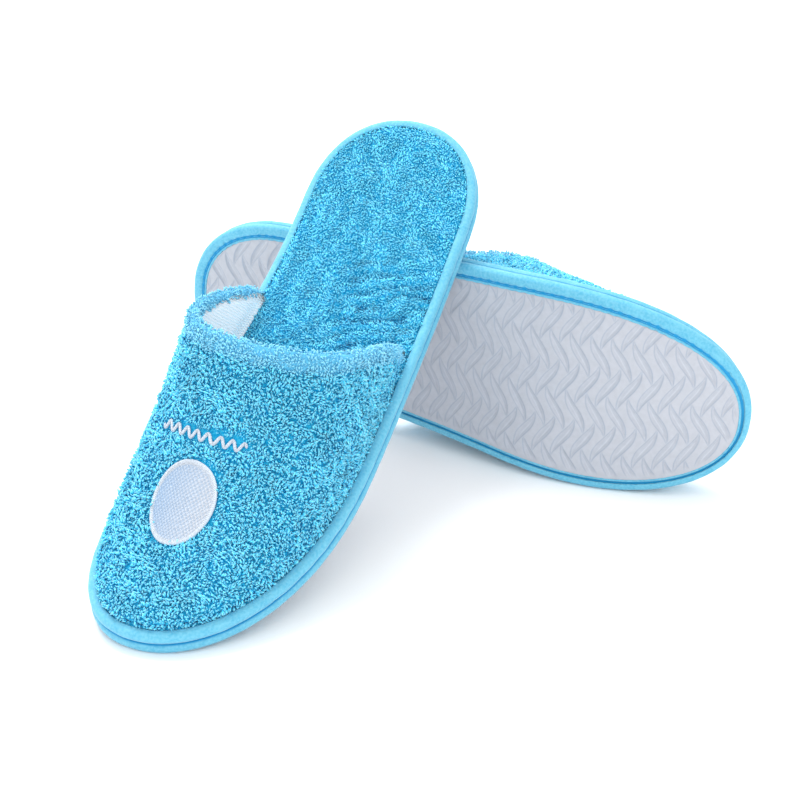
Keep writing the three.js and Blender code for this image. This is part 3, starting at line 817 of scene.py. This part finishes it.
def makeTapes(foot):
    radius = levels["soleTapeTop"] / 2
    lower = [(a, b) for a, b, _, _ in soleTape["section"]]
    lower = lower + rollPoints(radius, radius, soleTape["rollSteps"])[1:] + soleTape["inside"]
    pull = [(c, d) for _, _, c, d in soleTape["section"]]
    pull = pull + [(0, 0)] * (len(lower) - len(pull))
    first, last = soleTape["channel"]
    grooveRow = len(soleTape["section"]) + soleTape["grooveFrom"]

    def inGroove(row, height):
        # The stitched channel, and the roll's side in the groove between the tapes, which get painted
        # shade
        return first <= row <= last or (row >= grooveRow and height > soleTape["grooveHeight"])

    grooveShade = [float(inGroove(row, height)) for row, (_, height) in enumerate(lower)]
    shape, rows = ringShape(lower, pull, grooveShade, soleTape["pucker"], soleTape["stitchLength"], True)
    piece = gridPiece(foot["name"] + "SoleTape", soleTape["around"], rows, shape, foot, tapeMaterial)
    finishPiece(piece, foot, "tape", "sole_tape")
    radius = (levels["upperTapeTop"] - levels["upperTapeLow"]) / 2
    middle = (levels["upperTapeTop"] + levels["upperTapeLow"]) / 2
    upper = rollPoints(radius, middle, upperTape["rollSteps"]) + upperTape["inside"]
    inset, height = upper[upperTape["crest"]]
    upper[upperTape["crest"]] = (inset - upperTape["crestHeight"], height)
    # The upper roll's foot beside the groove and its hidden inside get painted shade
    grooveShade = [float(row < upperTape["grooveRows"] or inset > upperTape["hiddenInset"])
              for row, (inset, _) in enumerate(upper)]
    pull = [(0, 0)] * len(upper)
    shape, rows = ringShape(upper, pull, grooveShade, upperTape["pucker"], soleTape["stitchLength"], False)
    piece = gridPiece(foot["name"] + "UpperTape", upperTape["around"], rows, shape, foot, tapeMaterial)
    finishPiece(piece, foot, "tape", "upper_tape")


stitching = {"inset": 5.7, "height": 0.5, "thickness": 0.42, "share": 0.78}


def makeStitching(foot):
    count = int(round(edgeLength / soleTape["stitchLength"]))
    bm = bmesh.new()
    for index in range(count):
        along = (index + 0.5) * edgeLength / count
        spot = Matrix.Translation((along, stitching["inset"], stitching["height"]))
        size = Matrix.Diagonal((edgeLength / count * stitching["share"] / 2, stitching["thickness"] / 2,
                                stitching["thickness"] / 2, 1))
        bmesh.ops.create_uvsphere(bm, u_segments=6, v_segments=4, radius=1,
                                  matrix=spot @ size @ Matrix.Rotation(math.pi / 2, 4, "Y"))
    co = np.array([v.co[:] for v in bm.verts])
    x, y = edgePoint(co[:, 0], co[:, 1])
    for vertex, point in zip(bm.verts, place(x, y, co[:, 2], foot)):
        vertex.co = point
    piece = makeObject(foot["name"] + "SoleStitching", bm, threadMaterial)
    return finishPiece(piece, foot, "thread", "sole_stitching")


vampPile = {
    "length": 2.5,
    "width": 0.84,
    "spacing": 0.55,  # least distance between locks
    "density": 5.5,  # tried locks per square millimetre
    "lift": 0.66,
    "lean": 0.8,
    "jitter": 0.42,
    "swirl": 10.0,
    "detail": 1.5,
}
insolePile = {
    "length": 1.9,
    "width": 0.72,
    "spacing": 0.57,
    "density": 5.5,
    "lift": 0.62,
    "lean": 0.8,
    "jitter": 0.34,
    "swirl": 13.0,
    "detail": 1.0,
}


def makeLock(name, pile, material):
    # One short lock of pile along Z, a closed three-sided spindle, arched towards +X
    steps = ((0.62, 1.0, 0.12), (1.0, 0.0, 0.03))  # share of the length, of the width, and the arch
    root = 0.002  # the radius at the foot
    bm = bmesh.new()
    tip = bm.verts.layers.float.new("tip")
    bmesh.ops.create_circle(bm, segments=3, radius=root * mm)
    rim = list(bm.edges)
    for share, width, arch in steps:
        ring = bmesh.ops.extrude_edge_only(bm, edges=rim)["geom"]
        corners = [item for item in ring if isinstance(item, bmesh.types.BMVert)]
        rim = [item for item in ring if isinstance(item, bmesh.types.BMEdge)
               and all(corner in corners for corner in item.verts)]
        for corner in corners:
            flat = Vector((corner.co.x, corner.co.y, 0)).normalized() * pile["width"] / 2 * width * mm
            corner.co = (flat.x + arch * pile["length"] * mm, flat.y, share * pile["length"] * mm)
            corner[tip] = share
    bmesh.ops.remove_doubles(bm, verts=bm.verts, dist=mergeDistance)
    return makeObject(name, bm, material)


def growPile(piece, pile, material, seed):
    # Locks scattered over the marked faces, lying along a swirling direction
    lock = makeLock(piece.name + "Lock", pile, material)
    tree = bpy.data.node_groups.new(piece.name + "Pile", "GeometryNodeTree")
    tree.interface.new_socket("Geometry", in_out="INPUT", socket_type="NodeSocketGeometry")
    tree.interface.new_socket("Geometry", in_out="OUTPUT", socket_type="NodeSocketGeometry")
    source = tree.nodes.new("NodeGroupInput").outputs[0]
    result = tree.nodes.new("NodeGroupOutput")

    def vectorMath(operation, first, second=None, scale=None):
        node = tree.nodes.new("ShaderNodeVectorMath")
        node.operation = operation
        tree.links.new(first, node.inputs[0])
        if isinstance(second, bpy.types.NodeSocket):
            tree.links.new(second, node.inputs[1])
        elif second is not None:
            node.inputs[1].default_value = second
        if scale is not None:
            node.inputs["Scale"].default_value = scale
        return node.outputs[0]

    def randomValue(kind, low, high, number):
        node = tree.nodes.new("FunctionNodeRandomValue")
        node.data_type = kind
        live = [socket for socket in node.inputs if socket.enabled]
        live[0].default_value = low
        live[1].default_value = high
        live[-1].default_value = number
        return next(socket for socket in node.outputs if socket.enabled)

    marked = tree.nodes.new("GeometryNodeInputNamedAttribute")
    marked.data_type = "FLOAT"
    marked.inputs["Name"].default_value = "pile"
    scatter = tree.nodes.new("GeometryNodeDistributePointsOnFaces")
    scatter.distribute_method = "POISSON"
    tree.links.new(source, scatter.inputs["Mesh"])
    scatter.inputs["Distance Min"].default_value = pile["spacing"] * mm
    scatter.inputs["Density Max"].default_value = pile["density"] / mm**2
    tree.links.new(next(s for s in marked.outputs if s.enabled), scatter.inputs["Density Factor"])
    scatter.inputs["Seed"].default_value = seed
    normal = scatter.outputs["Normal"]
    position = tree.nodes.new("GeometryNodeInputPosition").outputs[0]
    step = 0.3 * mm

    def hills(offset):
        node = tree.nodes.new("ShaderNodeTexNoise")
        node.inputs["Scale"].default_value = 1 / (pile["swirl"] * mm)
        node.inputs["Detail"].default_value = pile["detail"]
        tree.links.new(vectorMath("ADD", position, offset), node.inputs["Vector"])
        return node.outputs[0]

    # The pile runs round the hills of a smooth noise, so that it swirls without parting
    level = hills((0, 0, 0))
    slope = tree.nodes.new("ShaderNodeCombineXYZ")
    for axis, offset in enumerate(((step, 0, 0), (0, step, 0), (0, 0, step))):
        rise = tree.nodes.new("ShaderNodeMath")
        rise.operation = "SUBTRACT"
        tree.links.new(hills(offset), rise.inputs[0])
        tree.links.new(level, rise.inputs[1])
        tree.links.new(rise.outputs[0], slope.inputs[axis])
    flow = vectorMath("NORMALIZE", vectorMath("CROSS_PRODUCT", normal, slope.outputs[0]))
    chance = randomValue("FLOAT_VECTOR", (-1, -1, -1), (1, 1, 1), seed + 1)
    direction = vectorMath("ADD", vectorMath("SCALE", normal, scale=pile["lift"]),
                           vectorMath("SCALE", flow, scale=pile["lean"]))
    direction = vectorMath("ADD", direction, vectorMath("SCALE", chance, scale=pile["jitter"]))
    turn = tree.nodes.new("FunctionNodeAxesToRotation")
    turn.primary_axis = "Z"
    turn.secondary_axis = "X"
    tree.links.new(direction, turn.inputs[0])
    tree.links.new(normal, turn.inputs[1])
    model = tree.nodes.new("GeometryNodeObjectInfo")
    model.inputs["Object"].default_value = lock
    spread = tree.nodes.new("GeometryNodeInstanceOnPoints")
    tree.links.new(scatter.outputs["Points"], spread.inputs["Points"])
    tree.links.new(model.outputs["Geometry"], spread.inputs["Instance"])
    tree.links.new(turn.outputs[0], spread.inputs["Rotation"])
    size = tree.nodes.new("ShaderNodeMath")
    size.operation = "MULTIPLY"
    tree.links.new(randomValue("FLOAT", 0.7, 1.3, seed + 2), size.inputs[0])
    tree.links.new(next(s for s in marked.outputs if s.enabled), size.inputs[1])
    tree.links.new(size.outputs[0], spread.inputs["Scale"])
    toned = tree.nodes.new("GeometryNodeStoreNamedAttribute")
    toned.data_type = "FLOAT"
    toned.domain = "INSTANCE"
    toned.inputs["Name"].default_value = "tone"
    tree.links.new(spread.outputs[0], toned.inputs["Geometry"])
    tree.links.new(randomValue("FLOAT", 0.0, 1.0, seed + 3), next(
        s for s in toned.inputs if s.name == "Value" and s.enabled))
    real = tree.nodes.new("GeometryNodeRealizeInstances")
    tree.links.new(toned.outputs[0], real.inputs[0])
    join = tree.nodes.new("GeometryNodeJoinGeometry")
    tree.links.new(real.outputs[0], join.inputs[0])
    tree.links.new(source, join.inputs[0])
    tree.links.new(join.outputs[0], result.inputs[0])
    modifier = piece.modifiers.new("Pile", "NODES")
    modifier.node_group = tree
    applyModifiers(piece)
    bpy.data.objects.remove(lock)


insole = {
    "inset": 2.7,  # tucked into the upper tape
    "edge": 5.4,  # where the pile is at its full height
    "clothDrop": 1.0,  # the cloth under the pile, below the pile's face
    "crown": 0.9,
    "crownReach": (4, 30),  # distances from the edge over which it crowns
    "wrinkle": 0.9,
    "wrinkleLength": 8.2,
    "wrinkleSlant": 0.45,
    "wander": 2.2,
    "wanderLength": 20,
    "wrinkledFrom": (60, 90),  # distances from the heel
    "wrinkledTo": (150, 175),
    "wrinkledSide": (-14, 6),
    "vampFrom": 190,  # from here it lies lower, under the vamp
    "sparseFrom": 200,  # from here its pile is hidden
    "sparsePile": 0.35,
    # creaseShade is how far painted shade darkens the pile in a crease
    "creaseShade": 0.95,  # how far the pile darkens in a crease
    "columns": 220,
    "rows": 60,
    "topRows": 48,
}


def insoleShape(u, v):
    heel, toe = railEnd(insole["inset"], 0), railEnd(insole["inset"], 1)
    x = heel + (toe - heel) * crowded(u, 0.5)
    topShare = insole["topRows"] / insole["rows"]
    top = v < topShare
    across = np.where(top, v / topShare, (1 - v) / (1 - topShare))
    low, high = railSides(x, insole["inset"])
    y = low + (high - low) * crowded(across, 0.5)
    inside, _ = edgeDistance(x, y)
    base = levels["fleeceTop"] - insole["clothDrop"]
    rise = smoothStep(inside, insole["inset"], insole["edge"])
    crown = insole["crown"] * smoothStep(inside, *insole["crownReach"])
    creased = smoothStep(x, *insole["wrinkledFrom"]) * (1 - smoothStep(x, *insole["wrinkledTo"]))
    creased = creased * smoothStep(y, *insole["wrinkledSide"])
    run = x + insole["wrinkleSlant"] * y + insole["wander"] * ripple(x, y, insole["wanderLength"], 4)
    wave = np.sin(2 * np.pi * run / insole["wrinkleLength"])
    patchy = smoothStep(ripple(x, y, 17, 9), -0.5, 0.5)
    wrinkle = insole["wrinkle"] * creased * wave
    # Painted shade in the valleys of the creases
    crease = insole["creaseShade"] * creased * patchy * smoothStep(-wave, 0.15, 0.85)
    soft = 0.18 * ripple(x, y, 14, 6)
    z = levels["fleeceLow"] + (base - levels["fleeceLow"]) * rise + (crown + wrinkle + soft) * rise
    z = np.where(top | (v > 1 - 0.5 / insole["rows"]), z, levels["fleeceLow"] - 0.1)
    z = np.where(x > insole["vampFrom"], np.minimum(z, levels["fleeceTop"] - 0.4), z)
    return {
        "points": (x, y, z),
        "uvs": {"UVMap": (x, y)},
        "attributes": {
            "pile": (top & (inside > 3.6)) * np.where(x > insole["sparseFrom"], insole["sparsePile"], 1.0),
            "crease": np.where(top, crease, 0.0),
        },
    }


def makeInsole(foot):
    piece = gridPiece(foot["name"] + "InsoleFleece", insole["columns"], insole["rows"], insoleShape, foot,
                      insoleMaterial)
    growPile(piece, insolePile, insoleMaterial, 11)
    finishPiece(piece, foot, "fleece", "insole_fleece")


vamp = {
    "lateralThroat": 116,
    "medialThroat": 106,
    "middleThroat": 164,
    "height": 58,
    "toeHeight": 6,
    "slope": 1.45,
    "crown": 0.66,
    "sideRound": 0.9,
    "bulge": 5.5,
    "lean": 5.6,
    "leanFade": 1.36,
    "ease": 7,
    "inset": 4.2,
    "skin": 1.1,  # the cloth under the pile, below the pile's face
    "back": 3.3,
    "setBack": 3.4,  # from the opening's line to the cloth's edge, because the pile stands proud
    "hemWidth": 8,
    "hemReturn": 2.6,
    "hemRadius": 1.7,
    "footTuck": 2.3,  # how far the foot goes down beside the tape
    "skirtColumns": 3,
    "skirtDepth": 0.9,
    "seatTaper": 0.07,  # share of the way across over which the layers come together
    # rows from the outside in under the hem: back from its width, out from the skin, and the hem's painted
    # highlight
    "hemStart": [(0.8, 0.1, 0.6), (2.0, 0.55, 1.0), (4.0, 0.7, 1.0), (6.0, 0.6, 1.0)],
    "hemSteps": 8,
    "lump": 0.3,
    "lumpLength": 9,
    "fineLump": 0.16,
    "fineLumpLength": 5,
    "hemThin": 0.15,  # how much shorter and thinner the pile is on the hem
    "cornerThin": 0.35,  # the same beside each end of the opening
    "columns": 64,
    "outerRows": 62,
}


def vampPoint(along, across, depth, down=0.0):
    # along runs 0 to 1 from opening to toe, across -1 to 1; depth is inwards
    inset = vamp["inset"] + depth
    toe = railEnd(inset, 1)
    start = vampStart(across)
    x = start + (toe - start) * along
    low, high = railSides(x, np.clip(inset, 0, 15))
    angle = (across + 1) * np.pi / 2
    cosine = -np.cos(angle)
    sine = np.maximum(np.sin(angle), 0)
    left = 1 - along
    full = (vamp["height"] - vamp["toeHeight"]) * np.maximum(left, 0) ** vamp["slope"]
    full = full + vamp["toeHeight"] * np.sqrt(np.maximum(1 - along**6, 0))
    height = full * (1 - depth / (full + vamp["ease"]))
    spread = np.sign(cosine) * np.abs(cosine) ** vamp["sideRound"]
    swell = vamp["bulge"] * np.sign(cosine) * np.sin(2 * angle) ** 2 * left
    shift = -vamp["lean"] * sine * np.maximum(left, 0) ** vamp["leanFade"]
    y = (low + high) / 2 + spread * (high - low) / 2 + swell + shift
    return np.stack([x, y, levels["vampSeat"] + height * sine ** vamp["crown"] - down])


def vampStart(across):
    seat = (vamp["medialThroat"] * (1 - across) + vamp["lateralThroat"] * (1 + across)) / 2
    middle = (vamp["medialThroat"] + vamp["lateralThroat"]) / 2
    return seat + (vamp["middleThroat"] - middle) * (1 - across**2)


# Patches on the vamp: their middle and size, along and across.
ovalPatch = {"middle": 232.5, "side": -0.055, "length": 37.5, "width": 27.5, "around": 96, "taper": 0.04}
rowPatch = {
    "middle": 206,
    "side": -0.08,
    "length": 41,
    "width": 3.8,
    "waves": 8,
    "thread": 1.4,
    "height": 0.55,
    "columns": 260,
    "sides": 10,
}


nudge = 0.01  # a small share of the vamp's length or width, for slopes


def vampFace(along, across):
    return vampPoint(np.asarray(along, float), np.asarray(across, float), np.zeros(np.shape(along)))


def patchMiddle(patch):
    # A patch's middle as a share of the vamp's length, and millimetres per share along and across there
    start = vampStart(np.array(patch["side"]))
    centre = (patch["middle"] - start) / (railEnd(vamp["inset"], 1) - start)
    along, across = np.array([centre]), np.array([patch["side"]])
    alongStep = vampFace(along + nudge, across) - vampFace(along - nudge, across)
    acrossStep = vampFace(along, across + nudge) - vampFace(along, across - nudge)
    return centre, np.linalg.norm(alongStep) / (2 * nudge), np.linalg.norm(acrossStep) / (2 * nudge)


def patchPoint(patch, forward, sideways, height):
    # A point on the vamp at distances from a patch's middle, raised along the surface's normal
    centre, perAlong, perAcross = patchMiddle(patch)
    along = centre + forward / perAlong
    across = patch["side"] + sideways / perAcross
    here = vampFace(along, across)
    ahead = vampFace(along + nudge, across) - here
    aside = vampFace(along, across + nudge) - here
    normal = np.cross(ahead, aside, axis=0)
    normal = normal / np.linalg.norm(normal, axis=0)
    normal = normal * np.where(normal[2] < 0, -1, 1)
    return here + normal * height


def vampProfile():
    # Rows from the toe over the outside, round the hem and back inside. Each gives its share of the way
    # to the toe, its distance from the opening, its depth, the hem's painted highlight and the pile.
    rows = []
    for index in range(vamp["outerRows"] + 1):
        share = math.sin(math.pi / 2 * (1 - index / vamp["outerRows"]))
        rows.append((share, vamp["hemWidth"], vamp["skin"], 0.0, 1.0))
    for back, out, shade in vamp["hemStart"]:
        rows.append((0, vamp["hemWidth"] - back, vamp["skin"] - out, shade, 1.0))
    middle = vamp["skin"] - 0.5 + vamp["hemRadius"]
    for index in range(vamp["hemSteps"] + 1):
        angle = math.pi * index / vamp["hemSteps"]
        distance = 1.2 - math.sin(angle) * vamp["hemRadius"] * 0.9
        rows.append((0, distance, middle - math.cos(angle) * vamp["hemRadius"], 1.0, 1.0))
    rows.append((0, vamp["hemReturn"] * 0.6, middle + vamp["hemRadius"], 1.0, 1.0))
    rows.append((0, vamp["hemReturn"], middle + vamp["hemRadius"] - 0.2, 0.8, 1.0))
    rows.append((0, vamp["hemReturn"] + 0.5, vamp["back"] - 0.6, 0.5, 0.0))
    for index in range(vamp["outerRows"] // 2 + 1):
        share = math.sin(math.pi / 2 * index / (vamp["outerRows"] // 2))
        rows.append((share, vamp["hemReturn"] + 1.0, vamp["back"] - 0.8, 0.0, 0.0))
    rows.append((1.0, vamp["hemWidth"], vamp["skin"], 0.0, 0.0))
    return np.array(rows)


def throatSetBack(across):
    # Nothing at the big-toe seat, where the cloth starts at the opening's line
    return vamp["setBack"] * smoothStep(across, -1.0, -0.3)


def acrossColumns(v, skirtShare):
    # Splits v into the arch between the seats and the short skirts beside the tape
    inner = (v - skirtShare) / (1 - 2 * skirtShare)
    across = np.clip(inner, 0, 1)
    across = -1 + 2 * crowded(across, 0.35)
    skirt = np.clip(np.maximum(skirtShare - v, v - (1 - skirtShare)) / skirtShare, 0, 1)
    return across, skirt


def vampFleeceShape(profile):
    rows = len(profile) - 1

    def shape(u, v):
        index = np.round(u * rows).astype(int)
        share, distance, depth, hem, pile = profile[index].T
        across, skirt = acrossColumns(v, vamp["skirtColumns"] / vamp["columns"])
        taper = smoothStep(1 - np.abs(across), 0, vamp["seatTaper"])
        depth = vamp["skin"] + (depth - vamp["skin"]) * taper
        toe = railEnd(vamp["inset"] + depth, 1)
        first = (distance + throatSetBack(across)) / (toe - vampStart(across))
        along = first + (1 - first) * share
        x, y, z = vampPoint(along, across, depth + vamp["skirtDepth"] * skirt, vamp["footTuck"] * skirt)
        lumps = vamp["lump"] * ripple(x, y + 1.3 * z, vamp["lumpLength"], 21)
        lumps = lumps + vamp["fineLump"] * ripple(x, y - z, vamp["fineLumpLength"], 22)
        lumps = lumps * taper * pile * smoothStep(1 - along, 0, 0.05)
        z = z + lumps * 0.8
        y = y + lumps * np.cos((across + 1) * np.pi / 2) * -0.8
        nearSeat = 1 - smoothStep(1 - np.abs(across), 0.0, 0.1)
        corner = nearSeat * (1 - smoothStep(along, 0.08, 0.2))
        marked = pile * (skirt < 0.7) * (1 - vamp["hemThin"] * hem) * (1 - vamp["cornerThin"] * corner)
        for patch, length, width, power in (
            (ovalPatch, ovalPatch["length"], ovalPatch["width"], 2),
            (rowPatch, rowPatch["width"] + 1.4, rowPatch["length"] + 0.6, 6),
        ):
            centre, perAlong, perAcross = patchMiddle(patch)
            forward = (along - centre) * perAlong / (length / 2)
            sideways = (across - patch["side"]) * perAcross / (width / 2)
            marked = marked * (np.abs(forward) ** power + np.abs(sideways) ** power > 1)
        # The hem's weight thins its pile and carries its painted highlight
        return {
            "points": (x, y, z),
            "uvs": {"UVMap": (x, y)},
            "attributes": {"pile": marked.astype(float), "hem": hem * (1 - skirt)},
        }

    return shape, rows


def makeVamp(foot):
    profile = vampProfile()
    shape, rows = vampFleeceShape(profile)
    piece = gridPiece(foot["name"] + "VampFleece", rows, vamp["columns"], shape, foot, fleeceMaterial)
    growPile(piece, vampPile, fleeceMaterial, 31)
    finishPiece(piece, foot, "fleece", "vamp_fleece", "vamp_foam")


lining = {
    "start": 1.2,
    "outer": 3.0,
    "clearance": 0.4,
    "thickness": 0.5,
    "skirtColumns": 2,
    "skirtShare": 0.6,
    "halfGirth": 84,
    "rows": 40,
    "flat": (0.168, 0.178),  # metres
    "area": 0.0138,  # square metres
}


def liningShape(u, v):
    # Out along one face and back along the other
    outward = u < 0.5
    share = np.where(outward, 1 - 2 * u, 2 * u - 1)
    across, skirt = acrossColumns(v, lining["skirtColumns"] / vamp["columns"])
    taper = smoothStep(1 - np.abs(across), 0, vamp["seatTaper"])
    rim = (share > 0.999) | (v < 0.001) | (v > 0.999)
    thickness = np.where(outward | rim, 0, lining["thickness"])
    depth = vamp["skin"] + (lining["outer"] - vamp["skin"]) * taper + thickness + lining["clearance"]
    toe = railEnd(vamp["inset"] + depth, 1)
    first = (lining["start"] + throatSetBack(across)) / (toe - vampStart(across))
    along = first + (1 - first) * np.sin(np.pi / 2 * share)
    skirt = skirt * lining["skirtShare"]
    x, y, z = vampPoint(along, across, depth + skirt, vamp["footTuck"] * skirt)
    reach = (along - first) * (toe - vampStart(across))
    girth = (across + 1) * lining["halfGirth"]
    return {"points": (x, y, z), "uvs": {"UVMap": (girth, reach)}}


def makeLining(foot):
    piece = gridPiece(foot["name"] + "VampLining", 2 * lining["rows"], vamp["columns"], liningShape, foot,
                      liningMaterial)
    finishPiece(piece, foot, "lining", "vamp_lining")


# Share of the radius and height above the vamp's face, from the oval's middle over its rim and back below.
ovalProfile = [
    (0.0, 0.42), (0.2, 0.42), (0.4, 0.4), (0.6, 0.38), (0.75, 0.34), (0.86, 0.28), (0.885, 0.3),
    (0.905, 0.52), (0.935, 0.68), (0.965, 0.66), (0.99, 0.48), (1.0, 0.15), (0.99, -0.5), (0.9, -0.8),
    (0.5, -0.8), (0.0, -0.8),
]


def ovalShape(u, v):
    rows = len(ovalProfile) - 1
    table = np.array(ovalProfile)[np.round(v * rows).astype(int)]
    angle = 2 * np.pi * u
    radius = table[:, 0]
    narrow = 1 + ovalPatch["taper"] * np.cos(angle)
    forward = radius * ovalPatch["length"] / 2 * np.cos(angle)
    sideways = radius * ovalPatch["width"] / 2 * np.sin(angle) * narrow
    height = table[:, 1] + 0.12 * ripple(forward, sideways, 8, 13) * (radius < 0.86)
    x, y, z = patchPoint(ovalPatch, forward, sideways, height)
    return {
        "points": (x, y, z),
        "uvs": {"UVMap": (forward, sideways), "Around": (angle * 16.5, radius * 16.5)},
        "attributes": {"rim": ((radius > 0.87) & (table[:, 1] > -0.4)).astype(float)},
    }


def rowShape(u, v):
    # One thick thread in even waves
    turn = 2 * np.pi * v
    taper = np.sqrt(np.clip(np.minimum(u, 1 - u) / 0.012, 0, 1))
    reach = (u - 0.5) * (rowPatch["length"] - rowPatch["thread"])
    wave = np.sin(2 * np.pi * rowPatch["waves"] * u)
    steepest = np.pi * rowPatch["waves"] * rowPatch["width"] / rowPatch["length"]
    slope = np.cos(2 * np.pi * rowPatch["waves"] * u) * steepest
    across = np.cos(turn) * rowPatch["thread"] / 2 * taper
    forward = wave * rowPatch["width"] / 2 + across / np.sqrt(1 + slope**2)
    sideways = reach - across * slope / np.sqrt(1 + slope**2)
    height = 0.1 + np.sin(turn) * rowPatch["height"] * taper
    x, y, z = patchPoint(rowPatch, forward, sideways, height)
    length = u * rowPatch["length"] * 1.6
    return {
        "points": (x, y, z),
        "uvs": {"UVMap": (length, turn), "Around": (length, turn)},
        "attributes": {"rim": np.ones_like(u)},
    }


def makeEmbroidery(foot):
    rows = len(ovalProfile) - 1
    piece = gridPiece(foot["name"] + "EmbroideredOval", ovalPatch["around"], rows, ovalShape, foot,
                      embroideryMaterial)
    finishPiece(piece, foot, "embroidery", "embroidered_oval")
    piece = gridPiece(foot["name"] + "EmbroideredRow", rowPatch["columns"], rowPatch["sides"], rowShape,
                      foot, embroideryMaterial)
    finishPiece(piece, foot, "embroidery", "embroidered_row")


for foot in feet.values():
    makeTread(foot)
    makeTapes(foot)
    makeStitching(foot)
    makeInsole(foot)
    makeVamp(foot)
    makeLining(foot)
    makeEmbroidery(foot)
    for part, material in (("midsole_foam", foamMaterial), ("insole_board", boardMaterial)):
        mesh = nodes[foot["name"] + "_" + part].data
        mesh.materials.clear()
        mesh.materials.append(material)

studio = {
    "floorSize": 8,  # metres
    "floorColour": (0.99, 0.99, 0.99, 1),
    "worldStrength": 1.18,
    "keyEnergy": 20,
    "keySize": 0.9,
    "keyPlace": (-0.7, 0.35, 1.3),
    "fillEnergy": 4,
    "fillSize": 1.4,
    "fillPlace": (0.9, -1.1, 0.9),
}
bm = bmesh.new()
bmesh.ops.create_grid(bm, x_segments=1, y_segments=1, size=studio["floorSize"] / 2)
floorMesh = bpy.data.meshes.new("Floor")
bm.to_mesh(floorMesh)
bm.free()
floorMaterial, _, floorShader = newMaterial("studioFloor", 0.9, Specular_IOR_Level=0.0)
floorShader.inputs["Base Color"].default_value = studio["floorColour"]
floorMesh.materials.append(floorMaterial)
floor = bpy.data.objects.new("Floor", floorMesh)
bpy.context.scene.collection.objects.link(floor)

world = bpy.data.worlds.new("Studio")
bpy.context.scene.world = world
world.use_nodes = True
world.node_tree.nodes["Background"].inputs["Color"].default_value = (1, 1, 1, 1)
world.node_tree.nodes["Background"].inputs["Strength"].default_value = studio["worldStrength"]
bpy.context.scene.view_settings.view_transform = "Standard"


def addLamp(name, energy, size, location):
    lampData = bpy.data.lights.new(name, "AREA")
    lampData.energy = energy
    lampData.size = size
    lamp = bpy.data.objects.new(name, lampData)
    lamp.location = location
    lamp.rotation_euler = (-Vector(location)).to_track_quat("-Z", "Y").to_euler()
    bpy.context.scene.collection.objects.link(lamp)


addLamp("Key", studio["keyEnergy"], studio["keySize"], studio["keyPlace"])
addLamp("Fill", studio["fillEnergy"], studio["fillSize"], studio["fillPlace"])
print("studio ready")
